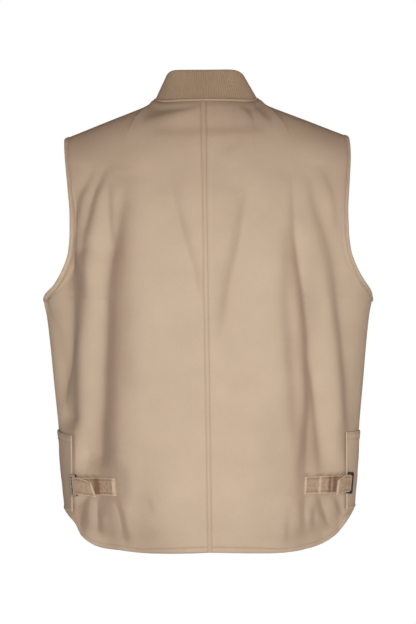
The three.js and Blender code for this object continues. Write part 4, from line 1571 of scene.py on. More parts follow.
@dataclass
class RibCollar(Assembly):
    """Stand collar of doubled rib knit on the neck edge, with the narrow strip that covers its seam."""

    neckline: Neckline
    top_half_width: float = 57.8
    top_shift: float = -1.0
    top_back: float = 57
    top_front: float = 66
    top_power: float = 0.75
    back_top_z: float = 40.5
    side_top_z: Pair = (37, 34)
    corner_power: Pair = (14, 9)
    back_swell: float = 2.5
    front_top_z: float = -30
    thickness: float = 4.0
    rib_pitch: float = 4.4
    rib_height: float = 0.85
    rib_power: float = 0.7
    columns_per_rib: int = 6
    inset: float = 4.8
    side_inset: float = 3.2
    foot_lift: float = 1.2
    front_gap: float = 0.8
    wall_rows: int = 12
    wall_share: float = 0.93
    roll_rows: int = 9
    roll_share: float = 0.95
    strip_columns: int = 57
    strip_height: float = 3.6
    strip_end_share: float = 0.6
    strip_thickness: float = 1.3
    strip_clearance: float = 0.1
    flat: Pair = (0.45, 0.055)

    @staticmethod
    def outward(angle: Array) -> Array:
        """Level direction away from the neck at an angle from the centre back."""
        return stack(np.sin(angle), -np.cos(angle), 0 * angle)

    def top(self, angle: Array) -> Array:
        """Points of the upper edge.

        Args:
            angle: Angle from the centre back.

        Returns:
            The points.
        """
        sine, cosine = np.sin(angle), np.cos(angle)
        flatter = np.abs(cosine) ** self.top_power
        depth = np.where(cosine > 0, -self.top_back * flatter, self.top_front * np.abs(cosine))
        swollen = self.back_top_z + self.back_swell * sine**2
        side_z, power = (np.where(sine < 0, *pair) for pair in (self.side_top_z, self.corner_power))
        behind = lerp(swollen, side_z, np.abs(sine) ** power)
        before = lerp(side_z, self.front_top_z, cosine**2)
        return stack(self.top_half_width * sine + self.top_shift, depth, np.where(cosine > 0, behind, before))

    def build_knit(self) -> None:
        """Makes the ribbed wall, folded over at its upper edge."""
        ribs = round(2 * math.pi * self.neckline.half_width / self.rib_pitch)
        end = math.pi - math.asin(self.front_gap / 2 / self.top_half_width)
        share = np.linspace(0, 1, ribs * self.columns_per_rib + 1)
        angle = lerp(-end, end, share)
        out, half = self.outward(angle), self.thickness / 2
        foot, top = self.neckline.point(angle), self.top(angle) - half * out
        rise = unit(top - foot)
        inset = lerp(self.inset, self.side_inset, smoothstep(np.abs(np.sin(angle)), 0.7, 0.97))
        foot = foot - inset[:, None] * out + self.foot_lift * rise
        rib = self.rib_height * (np.abs(np.cos(math.pi * ribs * share)) ** self.rib_power - 0.5)
        wall = np.linspace(0, self.wall_share, self.wall_rows)
        roll = np.linspace(-math.pi / 2, math.pi / 2, self.roll_rows)[1:-1]
        outline = [(h, 1.0) for h in wall]
        outline += [(lerp(self.roll_share, 1, math.cos(a)), -math.sin(a)) for a in roll]
        outline += [(h, -1.0) for h in wall[::-1]]
        sections = np.stack(
            [lerp(foot, top, h) + (n * half + np.sign(n) * rib * min(1.0, abs(n) * 1.2))[:, None] * out
             for h, n in outline],
            axis=1,
        )
        knit = self.dresser.dress(sweep(sections).to_object("collar_knit"), KNIT, "collar")

    def build_strip(self, panels: Sequence[PanelCut]) -> None:
        """Makes the strip round the neck edge.

        Args:
            panels: Cuts of the back and the front, whose neck edges the strip follows.
        """
        back, front = (cut.neck_angle(np.linspace(0, 1, self.strip_columns)) for cut in panels)
        right = np.concatenate([back, front[::-1][1:]])
        angle = np.concatenate([-right[::-1], right])
        out, foot = self.outward(angle), self.neckline.point(angle)
        rise = unit(self.top(angle) - foot)
        half = self.strip_thickness / 2
        at_side = smoothstep(np.abs(np.sin(angle)), 0.75, 0.98)
        height = self.strip_height * lerp(1.0, self.strip_end_share, at_side)
        outline = [(-half, 0.05), (half - 0.2, 0), (half + 0.1, 0.14), (half + 0.25, 0.5),
                   (half + 0.1, 0.86), (half - 0.3, 1), (-half, 1)]
        lift = CLOTH / 2 + self.strip_clearance
        sections = [foot + n * out + (lift + h * height)[:, None] * rise for n, h in outline]
        strip = sweep(np.stack(sections, axis=1)).to_object("neck_binding_tape")
        self.dresser.dress(strip, TRIM, "neck_binding")
        row = Line(foot + (half + 0.15) * out + (lift + 0.25 * height)[:, None] * rise, out)
        self.dresser.sew("neck_binding", [row])


@dataclass
class PatchPocket(Assembly):
    """Patch pocket laid round the side, from the back over the side seam to the front."""

    form: BodyForm
    side: Side
    back_edge_x: float = 200.8
    front_edge_x: float = 96
    top_z: float = -497
    bottom_z: float = -611
    gap: float = 0.8
    columns: int = 110
    fine_columns: int = 8
    fine_share: float = 0.024
    rows: int = 70
    turn_width: float = 4.0
    turn_raise: float = 0.5
    turn_soft: float = 0.7
    top_hem: float = 13.0
    hem_inset: float = 2.2
    edge_stitch: float = 2.6
    stitch_sink: float = 0.3
    stitch_tone: float = 0.5
    edge_share: float = 0.5
    mouth_slack: float = 0.2
    mouth_rise: Pair = (0.0, 0.0)
    mouth_height: float = 40
    wave: float = 0.3
    wave_length: float = 40
    seed: int = 70
    tone: float = 0.5
    low_tone_share: float = 1.3
    low_height: float = 70
    front_tone: float = 0.3
    front_turn: float = 0.4
    pale_edge_share: float = 0.85
    flat: Pair = (0.255, 0.116)

    @property
    def mouth_stitches(self) -> Pair:
        """Distances of the two rows of stitches below the mouth."""
        return self.edge_stitch, self.top_hem - self.hem_inset

    def build(self) -> None:
        """Makes the patch and its stitches."""
        z = np.linspace(self.bottom_z, self.top_z, self.rows + 1)[:, None]
        share = shares(self.columns, self.fine_columns, self.fine_share)[None, :]
        start = self.form.back_angle(self.back_edge_x, z)
        angle = lerp(start, math.pi - self.form.back_angle(self.front_edge_x, z), share)
        rise = lerp(*self.mouth_rise, smoothstep(angle, start, math.pi / 2))
        level = z + rise * smoothstep(z, self.top_z - self.mouth_height, self.top_z)
        base, normal = self.form.point(angle, level), self.form.normal(angle, level)
        for grid in (base, normal):
            grid[..., 0] *= self.side.value
        out, up = run_length(base, axis=1), run_length(base, axis=0)
        inside = np.sin(math.pi * share) ** 0.6
        slack = self.mouth_slack * inside * smoothstep(z, self.bottom_z, self.top_z)
        wave = self.wave * inside * ripple(out, up, self.wave_length, self.seed + self.side.value)
        middle = base + normal * (CLOTH / 2 + self.gap + TRIM_CLOTH / 2 + slack + wave)[..., None]
        edge, top = np.minimum(np.minimum(out, out[:, -1:] - out), up), up[-1:, :] - up
        double = np.maximum(ending(edge, self.turn_width, self.turn_soft),
                            ending(top, self.top_hem, self.turn_soft))
        dips = stitch_dip(edge, self.edge_stitch)
        for place in self.mouth_stitches:
            dips = np.maximum(dips, stitch_dip(top, place))
        rounded = lerp(self.edge_share, 1.0, smoothstep(np.minimum(edge, top), -0.2, 1.4))
        outward = (TRIM_CLOTH / 2 + self.turn_raise * double - self.stitch_sink * dips) * rounded
        outer = middle + normal * outward[..., None]
        inner = middle - normal * (TRIM_CLOTH / 2 * rounded)[..., None]
        # Painted shade over the patch: deeper towards its lower edge and in the stitch lines, lighter past
        # the side seam.
        low = lerp(self.low_tone_share, 1.0, smoothstep(z, self.bottom_z, self.bottom_z + self.low_height))
        past_side = smoothstep(angle, math.pi / 2, math.pi / 2 + self.front_turn)
        deep = lerp(self.tone * low, self.front_tone, past_side)
        # Painted highlight: the shade lifts along the patch's edges.
        pale = 1 - self.pale_edge_share * fading(edge, 1.0, 2.6)
        tone = np.clip(deep * pale + self.stitch_tone * dips, 0, 1)
        node = f"pocket_{self.side.label}"
        cloth = shell(outer, inner, np.stack([out, up], -1), tone)
        patch = self.dresser.dress(cloth.to_object(f"{node}_patch"), POCKET, node)
        stitches = self.dresser.sew(node, self.stitch_lines(Line(outer, normal), out[0], up[:, 0]))

    def stitch_lines(self, face: Line, out: Array, up: Array) -> list[Line]:
        """Rows of stitches below the mouth and along the other edges.

        Args:
            face: Grid of the outer face and its outward directions.
            out: Distance of each column from the back edge.
            up: Distance of each row from the lower edge.

        Returns:
            The rows.
        """
        wanted = [(up[-1] - up, place) for place in self.mouth_stitches] + [(up, self.edge_stitch)]
        rows = [int(np.argmin(np.abs(distance - place))) for distance, place in wanted]
        sides = (out, out[-1] - out)
        columns = [int(np.argmin(np.abs(distance - self.edge_stitch))) for distance in sides]
        cuts = [np.s_[row, 2:-2] for row in rows] + [np.s_[1:-1, column] for column in columns]
        return [Line(face.points[cut], face.normals[cut]) for cut in cuts]


class HardPiece:
    """Hard piece modelled from a primitive with edit operators, and then put in its place."""

    def __init__(self, name: str) -> None:
        """Takes the name of the piece."""
        self.name = name
        self.object: Object | None = None

    def _begin(self, add: Callable[..., object], **sizes: object) -> None:
        """Adds the primitive that the piece starts from, and selects all of it in edit mode.

        Args:
            add: Operator that adds the primitive.
            **sizes: Settings of the operator.
        """
        if bpy.context.object and bpy.context.object.mode != "OBJECT":
            bpy.ops.object.mode_set(mode="OBJECT")
        bpy.ops.object.select_all(action="DESELECT")
        add(**sizes)
        self.object = bpy.context.object
        self.object.name = self.name
        self.object.data.name = self.name
        bpy.ops.object.mode_set(mode="EDIT")
        bpy.ops.mesh.select_all(action="SELECT")

    def window_plate(self, size: Pair, bar: float, corner: float) -> None:
        """Plate with two windows side by side, which leave bars of one width.

        Args:
            size: Length and height of the plate.
            bar: Width of the bars and thickness of the plate.
            corner: Radius of the outer corners.
        """
        self._begin(bpy.ops.mesh.primitive_grid_add, x_subdivisions=2, y_subdivisions=1, size=1)
        bpy.ops.transform.resize(value=(size[0] * MM, size[1] * MM, 1))
        bpy.ops.mesh.inset(thickness=bar / 2 * MM, use_individual=False, use_boundary=True)
        bpy.ops.mesh.inset(thickness=bar / 2 * MM, use_individual=True)
        bpy.ops.mesh.delete(type="FACE")
        corner_x, corner_y = ((length / 2 - 0.1) * MM for length in size)
        self.select(lambda v: abs(v.co.x) > corner_x and abs(v.co.y) > corner_y)
        bpy.ops.mesh.bevel(offset=corner * MM, segments=5, affect="VERTICES")
        bpy.ops.mesh.select_all(action="SELECT")
        bpy.ops.mesh.extrude_region_move(TRANSFORM_OT_translate={"value": (0, 0, bar * MM)})
        bpy.ops.mesh.select_all(action="SELECT")
        bpy.ops.transform.translate(value=(0, 0, -bar / 2 * MM))
        bpy.ops.mesh.normals_make_consistent(inside=False)
        bpy.ops.object.mode_set(mode="OBJECT")

    def block(self, size: Triple) -> None:
        """Plain block to shape further.

        Args:
            size: Its sizes along X, Y and Z.
        """
        self._begin(bpy.ops.mesh.primitive_cube_add, size=1)
        bpy.ops.transform.resize(value=tuple(length * MM for length in size))
        bpy.ops.object.mode_set(mode="OBJECT")

    def select(self, test: Callable[[MeshVertex], bool]) -> None:
        """Selects the vertices that pass a test, and stays in edit mode.

        Args:
            test: Picks the vertices.
        """
        bpy.ops.object.mode_set(mode="EDIT")
        bpy.ops.mesh.select_mode(type="VERT")
        bpy.ops.mesh.select_all(action="DESELECT")
        bpy.ops.object.mode_set(mode="OBJECT")
        for vertex in self.object.data.vertices:
            vertex.select = test(vertex)
        bpy.ops.object.mode_set(mode="EDIT")

    def narrow(self, test: Callable[[MeshVertex], bool], share: Triple) -> None:
        """Scales the vertices that pass a test about the piece's middle.

        Args:
            test: Picks the vertices.
            share: Scale along X, Y and Z.
        """
        self.select(test)
        bpy.ops.transform.resize(value=share)
        bpy.ops.object.mode_set(mode="OBJECT")

    def round_edges(self, width: float, segments: int) -> None:
        """Rounds every sharp edge with an applied bevel.

        Args:
            width: Width of the bevel.
            segments: Its number of steps.
        """
        bevel = self.object.modifiers.new("rounded edges", "BEVEL")
        bevel.width = width * MM
        bevel.segments = segments
        bevel.limit_method = "ANGLE"
        bevel.angle_limit = math.radians(40)
        bpy.ops.object.modifier_apply(modifier=bevel.name)
        bpy.ops.object.shade_smooth_by_angle(angle=math.radians(35))

    def put(self, place: Matrix) -> None:
        """Puts the piece in its place, in millimetres, and applies the place to its mesh.

        Args:
            place: Turn and shift of the piece.
        """
        moved = place.copy()
        moved.translation = place.translation * MM
        self.object.data.transform(moved)
        if moved.determinant() < 0:
            self.object.data.flip_normals()
        self.object.data.update()


@dataclass
class WaistStrap(Assembly):
    """Strap at the side of the back waist, with its metal slide and the tab that holds the slide."""

    form: BodyForm
    side: Side
    panel: PanelHalf
    slide_x: float
    free_end_x: float
    free_end_lift: float
    free_end_fall: float
    free_end_slant: float
    # Painted shadows across the lower run; a negative depth paints a pale line, a painted highlight.
    shadows: tuple[Band, ...]
    slack: float
    z: float = -572.2
    width: float = 25.0
    free_end_share: float = 0.83
    free_end_tone_share: float = 0.3
    free_end_soft: Pair = (1.4, 3.4)
    # Base depth of painted shade, which also gives the strap its darker colour.
    tone: float = 0.58
    low_tone: float = 0.56
    pale_length: float = 2.6
    pale_share: float = 0.75
    pale_soft: float = 0.7
    thickness: float = 1.7
    clearance: float = 0.35
    anchor_x: float = 138
    anchor_turn: Pair = (5, 6.5)
    anchor_raise: float = 0.5
    climb: Pair = (0.45, 1)
    sewn_length: float = 20
    stitch_share: float = 0.42
    lift: float = 7.2
    bar: float = 3.0
    bar_clearance: float = 0.3
    bar_spacing: float = 5.0
    reach: float = 10.0
    height: float = 32.0
    corner: float = 3
    tab_width: float = 22
    tab_start: float = 3.0
    pocket_gap: float = 1.1
    columns: int = 16
    run_columns: int = 64
    turn_columns: int = 15
    edge_share: float = 0.55
    edge_ridge: Band = Band(3.6, 1.6, 0.18)
    edge_tone: Band = Band(3.0, 0.8, 0.22)
    edge_soft: Pair = (-0.8, 1.6)
    ripple_height: float = 0.1
    ripple_length: float = 9
    ripple_seed: int = 90
    mottle: float = 0.06
    mottle_length: float = 7
    mottle_seed: int = 95
    flat: Pair = (0.025, 0.115)

    def plan(self, x: Array | float, lift: Array | float) -> Array:
        """Points in plan at the strap's level.

        Args:
            x: Distance from the centre plane.
            lift: Distance outside the middle of the back's cloth.

        Returns:
            The points.
        """
        x, lift = np.broadcast_arrays(np.asarray(x, float), np.asarray(lift, float))
        angle = self.form.back_angle(x, self.z)
        level = np.full_like(x, self.z)
        point = self.form.point(angle, level) + self.form.normal(angle, level) * lift[..., None]
        return point[..., :2]

    def slide_frame(self) -> tuple[Array, Array, Array]:
        """Where the slide lies in plan.

        Returns:
            The outer bar, the way in to the centre back and the way out of the cloth.
        """
        outer = self.plan(self.slide_x, self.lift)
        inward = unit(self.plan(self.slide_x - self.reach, self.lift) - outer)
        out = np.array([-inward[1], inward[0]])
        return outer, inward, out if out[1] < 0 else -out

    def wrap(self, along: float, radius: float, turn: int) -> Array:
        """Half turn of a ribbon in plan, from under a bar to over it.

        Args:
            along: Distance of the bar from the slide's outer bar.
            radius: Radius of the turn.
            turn: 1 to pass round the bar's inner side, or -1 round its outer side.

        Returns:
            The points in plan.
        """
        outer, inward, out = self.slide_frame()
        angle = -math.pi / 2 + turn * math.pi * np.linspace(0, 1, self.turn_columns)
        run = along + radius * np.cos(angle)
        return outer + run[:, None] * inward + (radius * np.sin(angle))[:, None] * out

    def ribbon(self, path: Array, width: Array, thickness: float, fall: Array, slant: Array,
               tone: Array) -> Surface:
        """Upright ribbon whose middle follows a path in plan.

        Args:
            path: Points in plan.
            width: Width of the ribbon at each point of the path.
            thickness: Thickness of the ribbon.
            fall: How far each point of the path drops below the strap's level.
            slant: How far each point's upper edge leads its lower edge along the path.
            tone: Depth of painted shade at each point of the path.

        Returns:
            The closed surface.
        """
        run = unit(np.gradient(path, axis=0))
        share = np.linspace(-0.5, 0.5, self.columns + 1)
        across = share[None, :] * width[:, None]
        shift = share[None, :] * slant[:, None]
        points = np.empty((len(path), self.columns + 1, 3))
        points[..., :2] = path[:, None, :] + shift[..., None] * run[:, None, :]
        points[..., 2] = self.z - fall[:, None] + across
        points = self.leaned(points)
        normal = unit(np.stack([run[:, 1], -run[:, 0], 0 * run[:, 0]], -1))
        for grid in (points, normal):
            grid[..., 0] *= self.side.value
        edge = (0.5 - np.abs(share))[None, :] * width[:, None]
        walked = run_length(path)[:, None]
        half = thickness / 2 * lerp(self.edge_share, 1.0, smoothstep(edge, -0.3, 1.3))
        rippled = ripple(walked, edge, self.ripple_length, self.ripple_seed + self.side.value)
        half = half + self.edge_ridge.at(edge) + self.ripple_height * rippled
        offset = normal[:, None, :] * half[..., None]
        mottled = ripple(walked, edge, self.mottle_length, self.mottle_seed + self.side.value)
        # Painted shade, lifted at the edges as a painted highlight and deepened in a line near them; the
        # mottle is random tone.
        deep = tone[:, None] * smoothstep(edge, *self.edge_soft) + self.edge_tone.at(edge)
        deep = deep + self.mottle * mottled
        flat = np.stack(np.broadcast_arrays(across, walked), -1)
        return shell(points + offset, points - offset, flat, np.clip(deep, 0, 1))

    def leaned(self, points: Array) -> Array:
        """Leans points with the body, which narrows downwards.

        Args:
            points: Points of an upright ribbon.

        Returns:
            The points.
        """
        z = points[..., 2]
        back = self.form.depths[Facing.BACK]
        narrow = self.form.half_width(z) / self.form.half_width(self.z)
        shallow = back(z) / back(self.z)
        return points * np.stack([narrow, shallow, np.ones_like(z)], -1)

    def sunk(self, x: Array) -> Array:
        """How far the back's cloth stands out or in along the strap's middle."""
        free, _ = folded(self.panel.folds, np.full_like(x, self.z), self.side.value * x)
        return self.panel.held(free, x, self.z)

    def build_strap(self) -> None:
        """Makes the strap: sewn down, run out to the slide, round its inner bar and back over itself."""
        radius = self.bar / 2 + self.bar_clearance + self.thickness / 2
        low = CLOTH / 2 + self.clearance + self.thickness / 2
        near_x = self.slide_x - self.reach - 3
        share = np.linspace(0, 1, self.run_columns)
        x = lerp(self.anchor_x, near_x, share)
        sewn = x - self.anchor_x
        rise = lerp(low + self.sunk(x), self.lift - radius, smoothstep(share, *self.climb))
        loose = smoothstep(sewn, self.sewn_length - 2, self.sewn_length + 6) * fading(share, 0.7, 1)
        rise = rise + self.slack * loose * np.sin(math.pi * share) ** 2
        below = self.plan(x, rise + self.anchor_raise * fading(sewn, *self.anchor_turn))
        # Painted light: paler sewn end and free-end tip as painted highlights, painted shadows across the
        # lower run.
        pale = ending(sewn, self.pale_length, self.pale_soft)
        low_tone = self.low_tone * (1 - self.pale_share * pale)
        low_tone = low_tone + sum(shadow.at(x) for shadow in self.shadows)
        back_x = lerp(near_x, self.free_end_x, share)
        above = self.plan(back_x, lerp(self.lift + radius, self.free_end_lift, share))
        from_end = smoothstep(back_x - self.free_end_x, *self.free_end_soft)
        top_tone = self.tone * lerp(self.free_end_tone_share, 1.0, from_end)
        turn = self.wrap(2 * self.bar_spacing, radius, -1)
        path = np.concatenate([below, turn, above])
        still = np.zeros(len(below) + len(turn))
        drop = np.concatenate([still, self.free_end_fall * share])
        slant = np.concatenate([still, self.free_end_slant * smoothstep(share, 0.3, 1)])
        width = self.width * np.concatenate([1 + still, lerp(1, self.free_end_share, share)])
        tone = np.concatenate([low_tone, np.full(len(turn), self.tone), top_tone])
        node = f"waist_strap_{self.side.label}"
        band = self.ribbon(path, width, self.thickness, drop, slant, tone)
        strap = self.dresser.dress(band.to_object(f"{node}_band"), STRAP, node)
        self.dresser.sew(node, self.strap_lines(low))

    def strap_lines(self, low: float) -> list[Line]:
        """Stitches that hold the sewn end of the strap.

        Args:
            low: Lift of the strap's middle over the middle of the back's cloth.

        Returns:
            A row at each end of the sewn length and one along each edge between them.
        """
        lift = low + self.thickness / 2 + 0.35
        end = self.anchor_x + self.sewn_length
        level = np.linspace(-self.stitch_share, self.stitch_share, 12) * self.width + self.z
        run = np.linspace(self.anchor_x + 3, end - 1, 12)
        rows = [(np.full_like(level, x), level) for x in (self.anchor_x + 2, end)]
        for share in (-self.stitch_share, self.stitch_share):
            rows.append((run, np.full_like(run, self.z + share * self.width)))
        return [self.placed(self.plan(x, lift + self.sunk(x)), z) for x, z in rows]

    def placed(self, plan: Array, level: Array) -> Line:
        """Line leaned with the body and facing out of the cloth.

        Args:
            plan: Points in plan.
            level: Level of each point.

        Returns:
            The line.
        """
        points = self.leaned(np.concatenate([plan, level[:, None]], axis=1))
        angle = self.form.back_angle(np.abs(points[:, 0]), points[:, 2])
        normals = self.form.normal(angle, points[:, 2])
        for rows in (points, normals):
            rows[:, 0] *= self.side.value
        return Line(points, normals)

    def build_tab(self) -> None:
        """Makes the tab: sewn to the pocket, under the outer bar and over the middle bar."""
        radius = self.bar / 2 + self.bar_clearance + TRIM_CLOTH / 2
        low = CLOTH / 2 + self.pocket_gap + GAP + 1.5 * TRIM_CLOTH + 0.4
        sewn = self.plan(np.linspace(self.slide_x + self.tab_start, self.slide_x + 0.5, 6), low)
        path = np.concatenate([sewn, self.wrap(self.bar_spacing, radius, 1)])
        still = np.zeros(len(path))
        tab = self.ribbon(path, self.tab_width + still, TRIM_CLOTH, still, still, self.tone + still)
        node = f"slide_tab_{self.side.label}"
        self.dresser.dress(tab.to_object(f"{node}_loop"), STRAP, node)

    def build_slide(self) -> None:
        """Makes the slide: a bent wire frame with a middle bar."""
        node = f"slide_{self.side.label}"
        piece = HardPiece(f"{node}_frame")
        piece.window_plate((2 * self.bar_spacing + self.bar, self.height), self.bar, self.corner)
        piece.round_edges(self.bar * 0.46, 4)
        outer, inward, _ = self.slide_frame()
        lean = self.leaned(np.array([[*outer, self.z - 10], [*outer, self.z + 10]]))
        along = Vector((inward[0], inward[1], 0))
        up = Vector(unit(lean[1] - lean[0]))
        up = (up - along * up.dot(along) * 0.2).normalized()
        facing = along.cross(up).normalized()
        along = up.cross(facing).normalized()
        place = Matrix((along, up, facing)).transposed().to_4x4()
        place.translation = Vector((*outer, self.z)) + along * self.bar_spacing
        if self.side is Side.LEFT:
            place = Matrix.Diagonal((-1, 1, 1, 1)) @ place
        piece.put(place)
        self.dresser.dress(piece.object, METAL, node)

    def build(self) -> None:
        """Makes the strap, its tab and its slide."""
        self.build_strap()
        self.build_tab()
        self.build_slide()


@dataclass
class FrontZip(Assembly):
    """Closed zip between the front edges: tape, two rows of teeth, and a slider at the neck."""

    left: PanelHalf
    right: PanelHalf
    half_width: float = 3.1
    tape_thickness: float = 0.9
    tooth: Triple = (3.4, 1.35, 1.7)
    tooth_tip: Triple = (1, 0.62, 0.8)
    tooth_pitch: float = 2.9
    tooth_offset: Pair = (1.15, 0.75)
    tooth_sharp_angle: float = 30
    first_tooth: float = 5
    clear_end: float = 14
    slider: Triple = (8.4, 10.5, 3.4)
    slider_drop: float = 14
    slider_lift: float = 1.6
    pull: Pair = (7.2, 24.0)
    pull_bar: float = 1.5
    pull_corner: float = 2.2
    pull_drop: float = 28
    pull_lift: float = 4.2

    def __post_init__(self) -> None:
        """Finds the middle of the closed front, between the two edges."""
        points = (self.left.middle[:, 0] + self.right.middle[:, 0]) / 2
        self.line = Line(points, unit(self.left.normals[:, 0] + self.right.normals[:, 0]))

    def frame(self, distance: float, lift: float = 0) -> Matrix:
        """Place of a piece on the zip: X across it, Y up it and Z out of it.

        Args:
            distance: Distance up the zip.
            lift: Distance out of it.

        Returns:
            The place.
        """
        at, up, out = self.line.places(distance, 1)
        across = unit(np.cross(up, out))
        place = Matrix((across, up, np.cross(across, up))).transposed().to_4x4()
        place.translation = at
        return place @ Matrix.Translation((0, 0, lift))

    def build(self) -> None:
        """Makes the tape, the teeth and the slider."""
        line = self.line
        half, thick = self.half_width, self.tape_thickness
        outline = [(-half, -thick), (half, -thick), (half, -0.2), (0.9, -0.05), (-0.9, -0.05), (-half, -0.2)]
        sections = np.stack([line.points + a * SIDEWAYS + n * line.normals for a, n in outline], axis=1)
        self.dresser.dress(sweep(sections).to_object("front_zip_tape"), TAPE, "front_zip")
        self.build_teeth()
        self.build_slider()

    def build_teeth(self) -> None:
        """Makes both rows of teeth as one joined mesh from a single shaped tooth."""
        tooth = HardPiece("zip_teeth")
        tooth.block(self.tooth)
        tooth.narrow(lambda v: v.co.x > 0, self.tooth_tip)
        corners = np.array([vertex.co[:] for vertex in tooth.object.data.vertices]) / MM
        solid = [tuple(face.vertices) for face in tooth.object.data.polygons]
        bpy.data.objects.remove(tooth.object)
        aside, out = self.tooth_offset
        placed, solids = [], []
        for k in range(int((self.line.length - self.clear_end) / self.tooth_pitch * 2)):
            sign = 1 if k % 2 else -1
            place = np.array(self.frame(self.first_tooth + k * self.tooth_pitch / 2))
            local = corners * np.array([-sign, 1, 1]) + np.array([sign * aside, 0, out])
            placed.append(local @ place[:3, :3].T + place[:3, 3])
            solids.append(solid if sign < 0 else [face[::-1] for face in solid])
        teeth = joined(np.array(placed), solids, self.tooth_sharp_angle)
        self.dresser.dress(teeth.to_object("front_zip_teeth"), METAL)

    def build_slider(self) -> None:
        """Makes the slider at the top of the zip, with its pull."""
        body = HardPiece("front_zip_slider")
        body.block(self.slider)
        body.narrow(lambda v: v.co.y < 0, (0.62, 1, 1))
        body.narrow(lambda v: v.co.z > 0, (0.8, 0.85, 1))
        body.round_edges(0.7, 3)
        body.put(self.frame(self.line.length - self.slider_drop, self.slider_lift))
        self.dresser.dress(body.object, METAL)
        pull = HardPiece("front_zip_pull")
        pull.window_plate(self.pull, self.pull_bar, self.pull_corner)
        pull.round_edges(0.5, 3)
        pull.put(self.frame(self.line.length - self.pull_drop, self.pull_lift))
        self.dresser.dress(pull.object, METAL)


@dataclass(frozen=True)
class SoftLight:
    """Soft rectangular light, in metres and watts."""

    name: str
    place: Triple
    aim: Triple
    size: Pair
    power: float
    colour: Triple = (1, 1, 1)

    def build(self) -> None:
        """Makes the light, turned to the point that it is aimed at."""
        data = bpy.data.lights.new(self.name, "AREA")
        data.shape = "RECTANGLE"
        data.size, data.size_y = self.size
        data.energy = self.power
        data.color = self.colour
        light = bpy.data.objects.new(self.name, data)
        light.location = self.place
        light.rotation_euler = (Vector(self.aim) - Vector(self.place)).to_track_quat("-Z", "Y").to_euler()
        bpy.context.scene.collection.objects.link(light)


SUNNY, PALE = (1.0, 0.68, 0.5), (1.0, 0.84, 0.7)
SOFT_LIGHTS = (
    SoftLight("back_soft_light", (0, -2.6, -0.48), (0, 0, -0.4), (0.8, 0.8), 50.2),
    SoftLight("top_soft_light", (0, -0.8, 2.2), (0, 0, 0), (1.4, 1.0), 9, SUNNY),
    SoftLight("left_soft_light", (-3.2, 0.3, -0.5), (0, 0, -0.4), (1.0, 1.6), 14, PALE),
    SoftLight("right_soft_light", (3.2, 0.3, -0.5), (0, 0, -0.4), (1.0, 1.6), 19, PALE),
    SoftLight("front_soft_light", (0, 3.6, -0.2), (0, 0, -0.3), (2.2, 1.6), 70),
)


@dataclass
class Studio:
    """White studio: camera behind the wearer, soft lights round it, and a pale floor far below."""

    distance: float = 4.0
    eye_z: float = -0.318
    roll: float = 0.45
    millimetres_per_pixel: float = 1.5
    long_side: int = 624
    sensor: float = 36.0
    floor_z: float = -1.45
    floor_radius: float = 3.2
    floor_tone: float = 0.8
    ambient: float = 0.06
    warm: Triple = (1.0, 0.75, 0.55)

    def camera(self) -> None:
        """Makes the camera, level with the middle of the back."""
        data = bpy.data.cameras.new("camera")
        data.sensor_width = self.sensor
        focal_pixels = self.distance / (self.millimetres_per_pixel * MM)
        data.lens = focal_pixels * self.sensor / self.long_side
        camera = bpy.data.objects.new("camera", data)
        camera.location = (0, -self.distance, self.eye_z)
        camera.rotation_euler = (math.pi / 2, math.radians(self.roll), 0)
        bpy.context.scene.collection.objects.link(camera)
        bpy.context.scene.camera = camera

    def world(self) -> None:
        """Makes a white surround that lights the object less than the camera sees it."""
        world = bpy.data.worlds.new("studio")
        world.use_nodes = True
        bpy.context.scene.world = world
        tools = NodeTools(world.node_tree)
        seen = tools.add("ShaderNodeLightPath").outputs["Is Camera Ray"]
        tint = tools.add("ShaderNodeMix", {"data_type": "RGBA"}, in_0=seen, in_6=(*self.warm, 1),
                         in_7=(1, 1, 1, 1))
        tools.feed(world.node_tree.nodes["Background"], Color=tint.outputs[2],
                   Strength=tools.spread(seen, self.ambient, 1.0))

    def floor(self) -> None:
        """Makes the pale floor, out of the main view."""
        bpy.ops.object.select_all(action="DESELECT")
        bpy.ops.mesh.primitive_circle_add(vertices=96, radius=self.floor_radius, fill_type="NGON",
                                          location=(0, 0, self.floor_z))
        floor = bpy.context.object
        floor.name = "floor"
        material, tools, shader = new_material("pale_floor")
        tools.feed(shader, Base_Color=(*[self.floor_tone] * 3, 1), Roughness=0.8)
        floor.data.materials.append(material)

    def build(self) -> None:
        """Makes the camera, the surround, the floor and the lights."""
        self.camera()
        self.world()
        self.floor()
        for light in SOFT_LIGHTS:
            light.build()
        bpy.context.scene.view_settings.view_transform = "Standard"


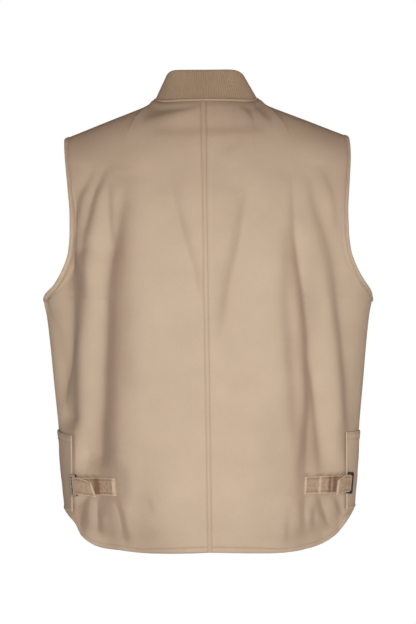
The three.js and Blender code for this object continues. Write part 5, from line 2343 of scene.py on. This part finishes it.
def cuts(form: BodyForm, neckline: Neckline, side: Side) -> tuple[PanelCut, PanelCut]:
    """Cuts of the back and the front for one side.

    Args:
        form: Body form.
        neckline: Neck edge.
        side: Side of the wearer.

    Returns:
        The back's cut and the front's.
    """
    tables = (BACK_ARMHOLE, BACK_HEM[side], FRONT_ARMHOLE, FRONT_HEM)
    back_armhole, back_hem, front_armhole, front_hem = (MonotoneCurve(*zip(*rows)) for rows in tables)
    back = PanelCut(
        form, neckline, Facing.BACK, centre_x=GAP / 2, armhole=back_armhole, hem=back_hem, hem_drop=55.5,
        neck_share=8 / 18, neck_lean=(0, 0.68, 0.73), tuck=side.pick((6.5, 0)),
    )
    front = PanelCut(
        form, neckline, Facing.FRONT, centre_x=3.5, armhole=front_armhole, hem=front_hem, hem_drop=6,
        neck_share=7 / 15, neck_lean=(0, -0.3, 0.95),
    )
    return back, front


def main() -> None:
    """Builds the waistcoat piece by piece, then the studio."""
    logging.basicConfig(level=logging.INFO, format="%(message)s")
    form, neckline, dresser = BodyForm(BODY_SECTIONS), Neckline(), Dresser()
    Studio().build()
    backs: dict[Side, PanelHalf] = {}
    fronts: dict[Side, PanelHalf] = {}
    for side in Side:
        back_cut, front_cut = cuts(form, neckline, side)
        backs[side] = PanelHalf(dresser, back_cut, side, BACK_FOLDS, 164, (0.31, 0.70), 0.176)
        fronts[side] = PanelHalf(dresser, front_cut, side, FRONT_FOLDS, 90, (0.31, 0.66), 0.154,
                                 side_rows=90, armhole_rows=56, shoulder_rows=30)
        backs[side].build()
        fronts[side].build()
    for side in Side:
        ArmholeBinding(dresser, backs[side], fronts[side]).build()
    # The left pocket takes much more painted shade than the right.
    PatchPocket(dresser, form, Side.LEFT, tone=0.7, mouth_rise=(-1.5, 4.4)).build()
    PatchPocket(dresser, form, Side.RIGHT, tone=0.24).build()
    # The straps' bands are painted shadows; the right strap's negative band is a painted highlight.
    WaistStrap(
        dresser, form, Side.LEFT, backs[Side.LEFT], slide_x=197.5, free_end_x=166, free_end_lift=7,
        free_end_fall=4.9, free_end_slant=-6, shadows=(Band(164.5, 4.0, 0.62),), slack=0.6, tone=0.56,
        low_tone=0.6, pale_length=5.4, anchor_x=134.5,
    ).build()
    WaistStrap(
        dresser, form, Side.RIGHT, backs[Side.RIGHT], slide_x=204.5, free_end_x=182.5,
        free_end_lift=8, free_end_fall=5.5, free_end_slant=-1, slack=3.0,
        shadows=(Band(160.5, 1.0, -0.42), Band(173.5, 2.2, 0.42), Band(181, 3.2, 0.44)),
    ).build()
    CentreSeam(dresser, backs[Side.LEFT], backs[Side.RIGHT]).build()
    FrontZip(dresser, fronts[Side.LEFT], fronts[Side.RIGHT]).build()
    collar = RibCollar(dresser, neckline)
    collar.build_knit()
    collar.build_strip(cuts(form, neckline, Side.RIGHT))


if __name__ == "__main__":
    main()
